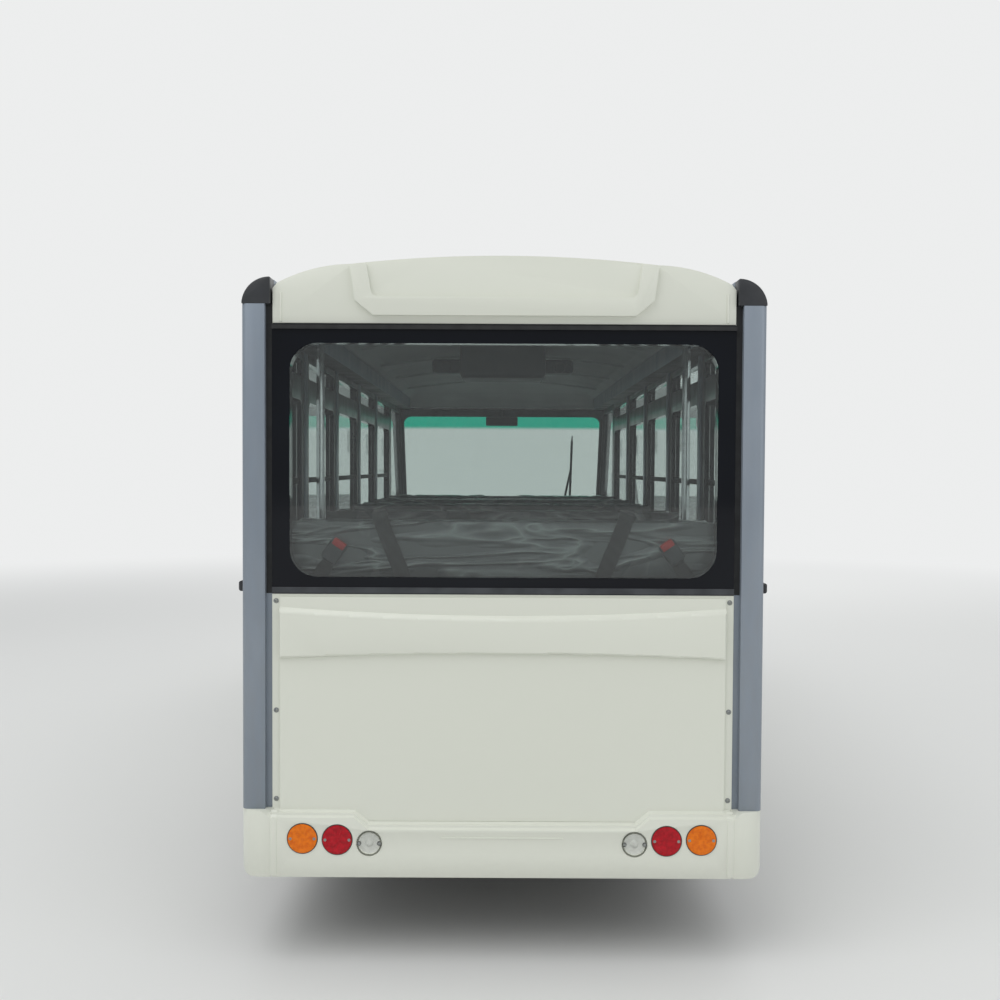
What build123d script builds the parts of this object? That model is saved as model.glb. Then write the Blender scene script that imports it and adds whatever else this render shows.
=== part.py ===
"""An enclosed electric sightseeing shuttle with five rows of seats.

Millimetres. The shuttle stands on its wheels at Z 0 and faces +Y, with its right side at +X.
"""
from build123d import *
import math
import os

# Overall size
LENGTH = 5160.0          # over both bumpers
BODY_WIDTH = 1500.0      # over the closed doors
ROOF_CROWN = 2036.0      # height of the middle of the roof
NOSE_LENGTH = 1320.0     # from the front door post to the front end
FRONT_BAY = 800.0        # length of the driver's bay
ROWS = 5

# Side walls
WALL = 40.0              # thickness of doors and posts
POST = 40.0              # width of a post between two doors
DOOR_GAP = 5.0           # running gap round a door
SILL_LOW = 270.0
SILL_HEIGHT = 60.0
SILL_WIDTH = 60.0
RAIL_DROP = 64.0         # from the roof's crown down to the top of the rails over the doors
RAIL_WIDTH = 82.0
RAIL_HEIGHT = 132.0
RAIL_TURN = 77.0         # height of a rail's round outer edge
LEDGE_DROP = 57.0        # from a rail's top down to its ledge, which carries the roof
LEDGE_WIDTH = 28.0

# Doors
BELT = 1110.0            # lower edge of a door's main window
WINDOW_DROP = 175.0      # from the rail's underside to the main window
TRANSOM_DROP = 32.0      # from the rail's underside to the narrow window above
TRANSOM_HEIGHT = 58.0
STILE = 45.0             # width of the door's frame beside its windows
WINDOW_RADIUS = 38.0
TRANSOM_RADIUS = 16.0
GLASS = 5.0              # thickness of the side glass
GLASS_FIT = 0.3          # clearance of glass in its frame
HINGE_DROP = 310.0       # the lower hinge below the belt
HINGE_UP = 280.0         # the upper hinge below the rail
HINGE_OUT = 12.0         # hinge axis outside the door's face
HINGE_RADIUS = 8.0
HINGE_LONG = 60.0        # length of the door's hinge barrel
HINGE_KNUCKLE = 26.0     # length of each barrel on the post
HINGE_LEAF = 4.0
HINGE_LEAF_LONG = 35.0
HINGE_PIN = 3.5          # radius of the pin in a hinge
HINGE_END_GAP = 0.6      # between the barrels of a hinge
PIN_FIT = 0.3
HANDLE_DROP = 30.0       # the handle below the belt
HANDLE_LONG = 110.0
HANDLE_THICK = 30.0
HANDLE_OUT = 28.0
HANDLE_IN = 12.0         # from the door's rear edge
HANDLE_EDGE = 9.0

# Roof
ROOF_GAP = 5.0           # between the roof and the rails beside it
ROOF_WALL = 30.0
NOSE_AHEAD = 15.0        # how far the roof stands out over the windscreen
NOSE_LAP = 10.0          # the roof's nose ends this far above the rails' underside
SHOULDER = (
    # in from the side, below the crown
    (0.0, 95.0),
    (12.0, 80.0),
    (78.0, 51.0),
    (223.0, 25.0),
)

# Rear face
REAR_FRAME = 45.0        # depth of the rear panels behind the body
PILLAR_WIDTH = 67.0
PILLAR_DEPTH = 60.0
PILLAR_ROUND = 18.0
GASKET = 18.0            # black channel beside each corner pillar
GASKET_BACK = 5.0        # how far it lies behind the panels' face
SEAM_DROP = 45.0         # from the belt to the joint between window unit and lower panel
REAR_GLASS_SIDE = 50.0   # width of the window's dark band beside the glass
REAR_GLASS_UNDER = 49.0
REAR_GLASS_OVER = 54.0
REAR_GLASS_RADIUS = 80.0
REAR_GLASS = 6.0
LIP_HEIGHT = 12.0        # dark lip over the rear window
LIP_OUT = 9.0
STRIP_HEIGHT = 17.0      # grey strip under it
STRIP_OUT = 4.0
FLANGE = 23.0            # flat edge of the lower panel at each side
FIELD_OUT = 6.0
BAND_OUT = 20.0          # how far the panel's raised band stands out
BAND_TOP = (49.0, 72.0)  # below the joint: at the sides, in the middle
BAND_FOOT = (184.0, 169.0)
PANEL_TAIL = 94.0        # how far the panel runs down into the bumper
FRAME_OUT = 18.0         # how far the roof cap's raised frame stands out
FRAME_TOP_IN = 216.0     # the frame's corners, in from the roof's side
FRAME_SIDE_IN = 236.0
FRAME_FOOT_IN = 288.0
FRAME_SIDE_DROP = 129.0  # and below the crown
FRAME_FOOT_DROP = 172.0
FRAME_BAR = 46.0         # width of the frame's sides
SUNK_DROP = 120.0        # lower edge of the field inside it, below the crown
FIELD_CORNER = 22.0
BAND_ROUND = 7.0         # round edge of the raised band

# Rear bumper
BUMPER_DEPTH = 80.0
BUMPER_OVER = 5.0        # how far it stands out at each side
BUMPER_LOW = 252.0
BUMPER_HEIGHT = 192.0
STEP_DROP = 34.0         # from the bumper's top to its lower middle
STEP_INNER_IN = 366.0    # ends of the step, in from the body's side
STEP_OUTER_IN = 325.0
BUMPER_JOINT_IN = 88.0   # joint to the corner pieces
JOINT_GAP = 3.0
BUMPER_SKIN = 8.0
BUMPER_ROUND = 34.0
BUMPER_CORNER = 62.0
REAR_LAMPS = (
    # node, in from the side, below the bumper's top, radius
    ("amber", 177.0, 80.0, 42.0),
    ("red", 277.0, 83.0, 42.0),
    ("clear", 369.0, 93.0, 36.5),
)
LAMP_FIT = 0.3
LAMP_LIP = 4.0           # how far a lamp stands out of the bumper
LAMP_EDGE = 6.0          # the lens overlaps its hole by this
LAMP_DEEP = 22.0
LUG_RADIUS = 6.5         # lugs that hold a lamp's two screws
LUG_THICK = 2.5

# Wheels and steering
FRONT_AXLE_AHEAD = 410.0  # from the front door post
TYRE_RADIUS = 280.5
TYRE_WIDTH = 165.0
TYRE_IN = 12.5           # from the doors' face to the tyre
TYRE_BEAD = 62.0         # half width between the beads
TYRE_SHOULDER = 72.0
TYRE_TOE = 15.0          # height of the upright beads
SHOULDER_DROP = 10.5     # from the tread's middle to its shoulder
RIM_RADIUS = 166.0
RIM_FIT = 0.3
RIM_HOLES = 10
RIM_HOLE_RADIUS = 8.0
RIM_HOLE_CIRCLE = 121.0
RIM_LIP = 12.0           # how far a rim's flange stands over the tyre's seat
RIM_EDGE = 6.0
KINGPIN_IN = 110.0       # from a wheel's middle to its kingpin
KINGPIN_RADIUS = 12.0
KINGPIN_FIT = 0.4
BOSS_GAP = 1.0           # from the axle's kingpin boss to the yoke
YOKE_RADIUS = 30.0
YOKE_ROOM = 42.0         # from the axle's middle to the yoke's arms
YOKE_ARM = 16.0
PLATE_IN = 62.0          # backing plate, in from the wheel's middle
PLATE_RADIUS = 118.0
PLATE_THICK = 5.0
SPINDLE_RADIUS = 25.0
SPINDLE_OUT = 20.0       # the spindle's end, outside the wheel's middle
BEARING_FIT = 0.4
ARM_LENGTH = 118.0       # from a kingpin back to its arm's ball pin
ARM_DROP = 64.5          # from the axle's middle to the arm's underside
ARM_THICK = 14.0
ARM_HALF = 14.0
BALL_RADIUS = 7.0
BALL_LONG = 22.0
BALL_FIT = 0.5
TIE_ROD_RADIUS = 9.0
TIE_EYE = 15.0
TIE_EYE_THICK = 16.0
TIE_ROD_DROP = 13.0      # from the arm's underside to the rod's middle
ARCH_ROOM = 69.5         # from a tyre's tread to the arch
ARCH_TRIM = 30.0         # width of the front arches' outer rim
ARCH_TRIM_THICK = 8.0
ARCH_SKIN = 6.0
AXLE_SLOT = 62.0         # half width of the slot that an axle passes
SLOT_LOW = 100.0
SLOT_UP = 130.0          # from the axle's middle to the slot's top
SLOT_ROUND = 40.0
ARCH_DOOR_GAP = 2.0      # the arch cut in doors is larger by this
REAR_ARCH_IN = 110.0     # from a wheel's middle to the arch's inner wall
FRONT_ARCH_IN = 230.0

# Chassis
RAIL_CLEAR = 70.0        # from a chassis rail to the front arch
CHASSIS_RAIL = 50.0      # width of a chassis rail
CHASSIS_HIGH = 80.0      # height of a chassis rail
CHASSIS_LOW = 280.0
KICK_UP = 90.0           # rise of the rails over the axles
KICK_TOP = 140.0         # half length of the raised stretch
KICK_FOOT = 230.0
CROSS_WIDTH = 45.0       # cross members
CROSS_RISE = 20.0
CROSS_BEHIND = 610.0     # outriggers behind and ahead of the rear axle
CROSS_AHEAD = 490.0
BAY_CROSSES = ((3, 20.0), (4, 120.0), (5, 280.0))    # door bay, how far behind its rear post
NOSE_CROSS = 510.0       # the foremost cross member ahead of the front axle
NOSE_BEAM_BACK = 150.0   # the front cross member behind the front end
NOSE_BEAM = 40.0
NOSE_BEAM_OVER = 205.0   # how far it runs past the rails
BUMPER_STAY = 60.0
BUMPER_STAY_IN = 55.0
HUMP_HALF = 255.0        # half length of the floor's step over an axle
HUMP_WALL = 20.0         # from a chassis rail to the side of the floor's step
HUMP_SKIN = 10.0
DECK = 20.0              # thickness of the floor
DECK_SIDE = 6.0          # from the floor's edge to the doors
DECK_BACK = 60.0         # from the floor's front edge to the front bumper
SPRING_OUT = 30.0        # from a chassis rail to its spring's middle
SPRING_WIDTH = 46.0
SPRING_HALF = 450.0
SPRING_PAD = (28.0, 38.0)    # half width and half length of a spring's seat
LEAF = 8.0
LEAF_SHARES = (0.4, 0.7, 1.0)
SPRING_SEAT = 36.0       # height of the springs above the axles' middle
SPRING_RISE = 8.0        # how far a spring's ends stand above its middle
SPRING_EYE = 13.0        # radius of the eye at a spring's end
SPRING_PIN = 6.0
SPRING_PIN_OVER = 8.0
BEAM_HALF = 26.0         # front axle beam
BEAM_WEB = 9.0
BEAM_FLANGE = 9.0
BEAM_END = 60.0
AXLE_TUBE = 35.0         # radius of the rear axle's tube
GEAR_CASE = (105.0, -10.0, 120.0)    # radius, left end, right end
MOTOR = (88.0, -190.0, 60.0)
MOTOR_AHEAD = 150.0
MOTOR_RISE = 10.0
BATTERY_LOW = 235.0
BATTERY_IN = 140.0       # the battery's ends, inside two of the door posts
BATTERY_SIDE = 5.0
TOW_EYE_BACK = 155.0     # the tow eye's hole, behind the front end
TOW_EYE_DROP = 66.0      # and below the chassis
TOW_EYE_RADIUS = 34.0
TOW_HOLE = 16.0
TOW_PLATE = 14.0
TOW_FOOT = (80.0, 75.0, 8.0)

# Seats
SEAT_IN = 65.0           # from the doors' inner face to a bench
SEAT_SPLIT = 120.0       # between the two front seats
SEAT_BASE = 310.0        # height of a seat's base over the floor
CUSHION = 110.0
CUSHION_DEEP = 420.0
BACK_THICK = 95.0
BACK_HIGH = 500.0
BACK_RISE = 12.0         # from the cushion's top to the back's lower edge
BACK_TILT = 9.0          # degrees
PAD_ROUND = 30.0
SEAT_TOE = 50.0          # how far a cushion stands out over its base
BACK_SHELL = 12.0        # thickness of the shell behind a seat's back
SEAT_SOLE = 8.0
SEAT_BACK_IN = 115.0     # from a bay's rear edge to its seat's back
SEAT_EDGE = 10.0         # the shells are narrower than the pads at each side
SOFT_GAP = 0.4

# Front
SCREEN_BACK = 250.0      # windscreen's foot behind the front end
SCREEN_RAKE = 370.0      # from its foot back to its top
SCREEN_SIDE = 62.0       # width of the windscreen's frame
SCREEN_UNDER = 46.0
SCREEN_OVER = 52.0
SCREEN_RADIUS = 60.0
SCREEN_GLASS = 6.0
SCREEN_GLASS_IN = 12.0
FRONT_BELT_DROP = 50.0   # the windscreen's foot below the belt
FRAME_SECTION = 38.0
QUARTER_BACK = 30.0      # frame round the quarter window
QUARTER_FRONT = 58.0
QUARTER_UNDER = 45.0
QUARTER_OVER = 32.0
QUARTER_RADIUS = 34.0
FRONT_SKIN = 25.0
FRONT_BUMPER_HEIGHT = 268.0
FRONT_BUMPER_AHEAD = 450.0   # rear end of the front bumper, ahead of the axle
NOSE_BOW = 40.0          # how far the nose's middle bows forward
NOSE_CORNER = 190.0      # width of the nose's round corners
NOSE_BULGE = 20.0
NOSE_SILL = 22.0         # from the nose's top edge to the windscreen's foot
NOSE_RIM = 60.0          # ledge of the nose panel under the windscreen
PANEL_IN = 10.0          # the nose panel lies behind the bumper's face
SLOT_HEIGHTS = (78.0, 118.0, 158.0)  # air slots above the bumper's lower edge
SLOT_LONG = 620.0
SLOT_HIGH = 20.0
FRONT_LAMPS = (
    # node, in from the side, below the windscreen's foot, radius, front face behind the front end
    ("lamps_clear", 205.0, 315.0, 82.0, 38.0),
    ("lamps_amber", 108.0, 448.0, 34.0, 66.0),
)
FRONT_LAMP_DEPTH = 90.0
LAMP_DOME = 0.25         # share of the radius that a front lamp's edge is rounded by
MIRROR = (150.0, 44.0, 240.0)
MIRROR_BACK = 118.0      # the mirrors' feet behind the windscreen's foot
MIRROR_RISE = 170.0      # and above it
MIRROR_ARM = 100.0
MIRROR_OUT = 52.0        # from the body's side to a mirror
MIRROR_ARM_RADIUS = 9.0
MIRROR_FOOT = (12.0, 36.0, 68.0)
WIPER_IN = 250.0         # the wiper's blade, in from the body's side
WIPER_BLADE = 520.0
WIPER_MIDDLE = 400.0     # the blade's middle above the windscreen's foot

# Cabin
DASH_AHEAD = 485.0       # the dashboard's rear face ahead of the steering wheel's middle
DASH_FRONT = 100.0       # its front face behind the windscreen's foot
DASH_DEEP = 360.0        # its lower edge below the windscreen's foot
DASH_TOP = 60.0
DASH_ROUND = 110.0
DASH_LEG = (400.0, 290.0, 60.0)      # half width, from the dashboard's rear face, thickness
COWL = (300.0, 90.0, 30.0)
COWL_LONG = 200.0
COWL_OUT = 10.0
COWL_RISE = 52.0         # middle of the instrument cowl above the windscreen's foot
WHEEL_AHEAD = 640.0      # the steering wheel's middle ahead of the driver's back
WHEEL_UP = 345.0         # and above the seat's base
COLUMN_ANGLE = 32.0      # degrees from level
COLUMN_START = 60.0      # from the steering wheel's middle to its column
COLUMN_IN = 40.0         # how far the column runs into the dashboard
COLUMN_RADIUS = 34.0
SHAFT_RADIUS = 20.0
STEERING_RADIUS = 185.0
STEERING_RIM = 14.0
HUB_RADIUS = 44.0
SPOKE = 28.0
POLE_RADIUS = 14.0
POLE_IN = 20.0           # from the benches' ends to the grab poles
POLE_AHEAD = 8.0
POLE_FLANGE = 28.0
RAIL_RADIUS = 12.0       # hand rails behind the seats
RAIL_HALF = 570.0
RAIL_BEHIND = 52.0       # from a seat's back to its hand rail
RAIL_UNDER = 60.0        # from the seat back's top to the hand rail
RAIL_STAY_IN = 70.0      # the rail's outer brackets, in from its ends
RAIL_STAY = (9.0, 6.0)   # half width and half height of a bracket
CEILING_UNIT = (400.0, 300.0, 65.0)  # width, length, how far it hangs under the roof's ledge
CEILING_UNIT_BACK = 170.0
CEILING_ROUND = 24.0

# Places worked out from the sizes above
SIDE = BODY_WIDTH / 2
INNER = SIDE - WALL
REAR_END = -LENGTH / 2
FRONT_END = LENGTH / 2
BODY_REAR = REAR_END + BUMPER_DEPTH
REAR_PLANE = BODY_REAR - REAR_FRAME
REAR_HALF = SIDE - PILLAR_WIDTH - GASKET
ROOF_HALF = SIDE - RAIL_WIDTH - ROOF_GAP
SILL_HIGH = SILL_LOW + SILL_HEIGHT
RAIL_TOP = ROOF_CROWN - RAIL_DROP
RAIL_EDGE = RAIL_TOP - RAIL_TURN
RAIL_LOW = RAIL_TOP - RAIL_HEIGHT
LEDGE_HIGH = RAIL_TOP - LEDGE_DROP
NOSE_LOW = RAIL_LOW + NOSE_LAP
SEAM_HIGH = RAIL_LOW
SEAM_LOW = BELT - SEAM_DROP
PANEL_LOW = BUMPER_LOW + BUMPER_HEIGHT
WINDOW_HIGH = RAIL_LOW - WINDOW_DROP
HINGE_HEIGHTS = (BELT - HINGE_DROP, RAIL_LOW - HINGE_UP)
BAY_PITCH = (LENGTH - BUMPER_DEPTH - FRONT_BAY - NOSE_LENGTH) / (ROWS - 1)
BAYS = [BODY_REAR + BAY_PITCH * i for i in range(ROWS)]
BAYS.append(BAYS[-1] + FRONT_BAY)
POSTS = BAYS[1:]
NOSE_BACK = BAYS[-1] + POST / 2
REAR_AXLE = (BAYS[1] + BAYS[2]) / 2
FRONT_AXLE = BAYS[-1] + FRONT_AXLE_AHEAD
AXLE_HIGH = TYRE_RADIUS
WHEEL_X = SIDE - TYRE_IN - TYRE_WIDTH / 2
KINGPIN = WHEEL_X - KINGPIN_IN
PLATE_X = WHEEL_X - PLATE_IN
ARM_HEIGHT = AXLE_HIGH - ARM_DROP
ARCH_RADIUS = TYRE_RADIUS + ARCH_ROOM
REAR_ARCH_INNER = WHEEL_X - REAR_ARCH_IN
FRONT_ARCH_INNER = WHEEL_X - FRONT_ARCH_IN
ARCHES = ((REAR_AXLE, REAR_ARCH_INNER), (FRONT_AXLE, FRONT_ARCH_INNER))
RAIL_OUT = FRONT_ARCH_INNER - RAIL_CLEAR
RAIL_HALF_GAP = RAIL_OUT - CHASSIS_RAIL
DECK_TOP = CHASSIS_LOW + CHASSIS_HIGH + DECK
SPRING_X = RAIL_OUT + SPRING_OUT
SEAT_HALF = INNER - SEAT_IN
BASE_HIGH = DECK_TOP + SEAT_BASE
SEAT_ROWS = [y + SEAT_BACK_IN for y in BAYS[:-1]]
WS_FOOT = FRONT_END - SCREEN_BACK
WS_TOP = WS_FOOT - SCREEN_RAKE
FRONT_BELT = BELT - FRONT_BELT_DROP
ROOF_NOSE = WS_TOP + NOSE_AHEAD
FRONT_BUMPER_HIGH = BUMPER_LOW + FRONT_BUMPER_HEIGHT
FRONT_BUMPER_BACK = FRONT_AXLE + FRONT_BUMPER_AHEAD
WHEEL_CENTRE = (-(SEAT_HALF + SEAT_SPLIT / 2) / 2, SEAT_ROWS[-1] + WHEEL_AHEAD, BASE_HIGH + WHEEL_UP)
TOW_EYE = (FRONT_END - TOW_EYE_BACK, CHASSIS_LOW - TOW_EYE_DROP)

NODES = {}


def node(name, *shapes):
    """Keep shapes as one named node."""
    solids = [solid for shape in shapes for solid in shape.solids()]
    NODES[name] = solids


def block(x0, x1, y0, y1, z0, z1):
    """A box between two corners."""
    centre = Pos((x0 + x1) / 2, (y0 + y1) / 2, (z0 + z1) / 2)
    return centre * Box(x1 - x0, y1 - y0, z1 - z0)


def flip(shape):
    """The same shape on the other side of the vehicle."""
    return mirror(shape, about=Plane.YZ)


def side_plane(x):
    """Sketch plane seen from the right, with (Y, Z) as its coordinates."""
    return Plane(origin=(x, 0, 0), x_dir=(0, 1, 0), z_dir=(1, 0, 0))


def rear_plane(y):
    """Sketch plane seen from behind, with (X, Z) as its coordinates."""
    return Plane(origin=(0, y, 0), x_dir=(1, 0, 0), z_dir=(0, -1, 0))


def side_slab(sketch, x0, x1):
    """Extrude a (Y, Z) sketch from x0 to x1."""
    return extrude(side_plane(x0) * sketch, amount=x1 - x0)


def rear_slab(sketch, y_front, y_rear):
    """Extrude an (X, Z) sketch from y_front back to y_rear."""
    return extrude(rear_plane(y_front) * sketch, amount=y_front - y_rear)


def window(u0, u1, v0, v1, radius):
    """A rectangle with rounded corners between two corners."""
    return Pos((u0 + u1) / 2, (v0 + v1) / 2) * RectangleRounded(u1 - u0, v1 - v0, radius)


def polygon(*points):
    """A flat face with straight edges."""
    return make_face(Polyline(*points, close=True))


def rod_x(y, z, radius, x0, x1):
    """A round bar along X."""
    return side_slab(Pos(y, z) * Circle(radius), x0, x1)


def rod_z(x, y, radius, z0, z1):
    """An upright round bar."""
    return Pos(x, y, (z0 + z1) / 2) * Cylinder(radius, z1 - z0)


def rod_between(start, end, radius):
    """A round bar between two points."""
    line = Line(start, end)
    return extrude(Plane(origin=start, z_dir=line % 0) * Circle(radius), amount=line.length)


# Roof


def crown_outline(half, crown, low):
    """The roof's outline seen from behind: a flat crown, round shoulders and upright edges."""
    shoulder = [(half - inward, crown - drop) for inward, drop in SHOULDER]
    mirrored = [(-x, z) for x, z in shoulder]
    return make_face([
        Line((-half, low), (half, low)),
        Line((half, low), shoulder[0]),
        Line(shoulder[0], shoulder[1]),
        ThreePointArc(shoulder[1], shoulder[2], shoulder[3]),
        ThreePointArc(shoulder[3], (0, crown), mirrored[3]),
        ThreePointArc(mirrored[3], mirrored[2], mirrored[1]),
        Line(mirrored[1], mirrored[0]),
        Line(mirrored[0], (-half, low)),
    ])


def nose_outline(inset, low):
    """The roof seen from the side, with its front end rounded down to the windscreen."""
    nose = ROOF_NOSE - inset
    top = ROOF_CROWN + 1 - inset
    rear = BODY_REAR - 1
    brow = (nose, NOSE_LOW + 30 - inset / 2)
    bend = (nose - 60, top - 76)
    flat = (nose - 520, top)
    return make_face([
        Line((rear, low), (nose, low)),
        Line((nose, low), brow),
        ThreePointArc(brow, (nose - 14, top - 108), bend),
        ThreePointArc(bend, (nose - 230, top - 24), flat),
        Line(flat, (rear, top)),
        Line((rear, top), (rear, low)),
    ])


def roof_body(inset, low):
    """The roof's outer or inner form, before it is made hollow."""
    across = rear_slab(crown_outline(ROOF_HALF - inset, ROOF_CROWN - inset, low), ROOF_NOSE, BODY_REAR)
    along = side_slab(nose_outline(inset, low), -ROOF_HALF, ROOF_HALF)
    return across & along


def make_roof():
    """The moulded roof shell, which rests on the side rails and the front frame."""
    shell = roof_body(0, NOSE_LOW) - roof_body(ROOF_WALL, NOSE_LOW - 1)
    nose_back = ROOF_NOSE - ROOF_WALL - FRAME_SECTION
    half = ROOF_HALF + 1
    shell -= block(-half, half, BODY_REAR - 1, nose_back, NOSE_LOW - 1, LEDGE_HIGH)
    ledge = SIDE - RAIL_WIDTH - LEDGE_WIDTH
    for x0, x1 in ((-half, -ledge), (ledge, half)):
        shell -= block(x0, x1, BODY_REAR, ROOF_NOSE + 1, NOSE_LOW - 1, LEDGE_HIGH)
    node("roof_shell", shell)
    return shell


def rail_corner(inner, foot):
    """A closed section under a rail's round outer edge, from inner out to the side and down to foot."""
    return [
        Line((SIDE, foot), (SIDE, RAIL_EDGE)),
        ThreePointArc((SIDE, RAIL_EDGE), (SIDE - 24, RAIL_TOP - 23), (inner, RAIL_TOP)),
    ]


def rail_section():
    """Section of the rail over the doors, seen from behind, with its round outer edge and inner ledge."""
    inner = SIDE - RAIL_WIDTH
    return make_face(rail_corner(inner, RAIL_LOW) + [
        Line((inner, RAIL_TOP), (inner, LEDGE_HIGH)),
        Line((inner, LEDGE_HIGH), (inner - LEDGE_WIDTH, LEDGE_HIGH)),
        Line((inner - LEDGE_WIDTH, LEDGE_HIGH), (inner - LEDGE_WIDTH, RAIL_LOW)),
        Line((inner - LEDGE_WIDTH, RAIL_LOW), (SIDE, RAIL_LOW)),
    ])


def make_roof_rail():
    """The rail over the right-hand doors, cut to the nose of the roof."""
    rail = rear_slab(rail_section(), ROOF_NOSE, BODY_REAR)
    return rail & side_slab(nose_outline(0, RAIL_LOW - 1), 0, SIDE)


def make_rear_cap():
    """The roof's rear end with its raised U-shaped frame and sunk field."""
    half = ROOF_HALF
    cap = rear_slab(crown_outline(half, ROOF_CROWN, SEAM_HIGH), BODY_REAR, REAR_PLANE)
    over = ROOF_CROWN + 20
    top, side, foot = half - FRAME_TOP_IN, half - FRAME_SIDE_IN, half - FRAME_FOOT_IN
    raised = polygon((-top, over), (top, over), (side, ROOF_CROWN - FRAME_SIDE_DROP),
                     (foot, ROOF_CROWN - FRAME_FOOT_DROP), (-foot, ROOF_CROWN - FRAME_FOOT_DROP),
                     (-side, ROOF_CROWN - FRAME_SIDE_DROP))
    raised = raised & crown_outline(half, ROOF_CROWN - 6, SEAM_HIGH)
    frame = rear_slab(raised, REAR_PLANE, REAR_PLANE - FRAME_OUT)
    sunk = ROOF_CROWN - SUNK_DROP
    top, side = top - FRAME_BAR, side - FRAME_BAR - 3
    field = polygon((-top, over), (top, over), (side, sunk), (-side, sunk))
    field = fillet(field.vertices().group_by(Axis.Y)[0], FIELD_CORNER)
    node("roof_rear_cap", cap + frame - rear_slab(field, REAR_PLANE - STRIP_OUT, REAR_PLANE - 2 * FRAME_OUT))


# Rear face


def rear_glass_outline(inset):
    """The rear window's rounded outline, made smaller all round by inset."""
    half = REAR_HALF - REAR_GLASS_SIDE - inset
    low, high = SEAM_LOW + REAR_GLASS_UNDER + inset, SEAM_HIGH - REAR_GLASS_OVER - inset
    return window(-half, half, low, high, REAR_GLASS_RADIUS - inset)


def make_rear_window():
    """The rear window's dark surround with its top lip and lower strip. Returns the glass in it."""
    half = REAR_HALF
    frame = block(-half, half, REAR_PLANE, BODY_REAR, SEAM_LOW, SEAM_HIGH)
    frame -= rear_slab(rear_glass_outline(0), BODY_REAR + 1, REAR_PLANE - 1)
    lip = SEAM_HIGH - 3
    frame += block(-half, half, REAR_PLANE - LIP_OUT, REAR_PLANE, lip - LIP_HEIGHT, lip)
    strip = SEAM_LOW + 3
    frame += block(-half, half, REAR_PLANE - STRIP_OUT, REAR_PLANE, strip, strip + STRIP_HEIGHT)
    gasket = block(half, half + GASKET, REAR_PLANE + GASKET_BACK, BODY_REAR, PANEL_LOW, RAIL_EDGE)
    node("rear_window_frame", frame, gasket, flip(gasket))
    face = REAR_PLANE + 3
    return rear_slab(rear_glass_outline(GLASS_FIT), face + REAR_GLASS, face)


def make_pillars():
    """The moulded caps of the corner pillars. Returns the right-hand pillar, with its round outer corner."""
    rear = BODY_REAR - PILLAR_DEPTH
    pillar = block(SIDE - PILLAR_WIDTH, SIDE, rear, BODY_REAR, PANEL_LOW, RAIL_EDGE)
    corner = pillar.edges().filter_by(Axis.Z).sort_by(lambda e: e.center().X - e.center().Y)[-1]
    pillar = fillet(corner, PILLAR_ROUND)
    inner = SIDE - RAIL_WIDTH
    section = make_face(rail_corner(inner, RAIL_EDGE - 1) + [
        Line((inner, RAIL_TOP), (inner, RAIL_EDGE - 1)),
        Line((inner, RAIL_EDGE - 1), (SIDE, RAIL_EDGE - 1)),
    ])
    cap = rear_slab(section, BODY_REAR, rear) & block(0, SIDE, rear, BODY_REAR, RAIL_EDGE, RAIL_TOP)
    node("pillar_caps", cap, flip(cap))
    return pillar


def make_rear_panel():
    """The lower rear panel with side flanges and a raised band with curved edges."""
    half = REAR_HALF
    edge = half - FLANGE
    panel = block(-half, half, REAR_PLANE, BODY_REAR, PANEL_LOW - PANEL_TAIL, SEAM_LOW)
    panel += block(-edge, edge, REAR_PLANE - FIELD_OUT, REAR_PLANE, PANEL_LOW, SEAM_LOW - 8)
    top, top_middle = (SEAM_LOW - drop for drop in BAND_TOP)
    foot, foot_middle = (SEAM_LOW - drop for drop in BAND_FOOT)
    band = make_face([
        Line((-edge, foot), (-edge, top)),
        ThreePointArc((-edge, top), (0, top_middle), (edge, top)),
        Line((edge, top), (edge, foot)),
        ThreePointArc((edge, foot), (0, foot_middle), (-edge, foot)),
    ])
    raised = rear_slab(band, REAR_PLANE, REAR_PLANE - BAND_OUT)
    node("rear_panel", panel + fillet(raised.edges().group_by(Axis.Y)[0], BAND_ROUND))


def bumper_outline():
    """The rear bumper seen from behind, stepped down in the middle and rounded below."""
    half = SIDE + BUMPER_OVER
    inner, outer, step = SIDE - STEP_INNER_IN, SIDE - STEP_OUTER_IN, PANEL_LOW - STEP_DROP
    outline = polygon((-half, BUMPER_LOW), (half, BUMPER_LOW), (half, PANEL_LOW), (outer, PANEL_LOW),
                      (inner, step), (-inner, step), (-outer, PANEL_LOW), (-half, PANEL_LOW))
    return fillet(outline.vertices().group_by(Axis.Y)[0], BUMPER_ROUND)


def bumper_plan(inset):
    """The rear bumper seen from above, with rounded corners."""
    half = SIDE + BUMPER_OVER - inset
    rear = REAR_END + inset + LAMP_LIP
    front = BODY_REAR + 2
    corner = BUMPER_CORNER - inset
    return make_face([
        Line((half, front), (half, rear + corner)),
        RadiusArc((half, rear + corner), (half - corner, rear), corner),
        Line((half - corner, rear), (-half + corner, rear)),
        RadiusArc((-half + corner, rear), (-half, rear + corner), corner),
        Line((-half, rear + corner), (-half, front)),
        Line((-half, front), (half, front)),
    ])


def rear_lamp(inward, drop, radius):
    """A round lamp on the right: a domed lens with two screw lugs, and its body in the bumper."""
    face = REAR_END + LAMP_LIP
    place = Pos(SIDE - inward, PANEL_LOW - drop)
    lens = rear_slab(place * Circle(radius), face, REAR_END)
    lens = fillet(lens.edges().group_by(Axis.Y)[0], LAMP_LIP - 0.6)
    for side in (-1, 1):
        lug = place * Pos(side * (radius - 1), 0) * Circle(LUG_RADIUS)
        lens += rear_slab(lug, face, face - LUG_THICK)
    return lens + rear_slab(place * Circle(radius - LAMP_EDGE), face + LAMP_DEEP, face)


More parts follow.
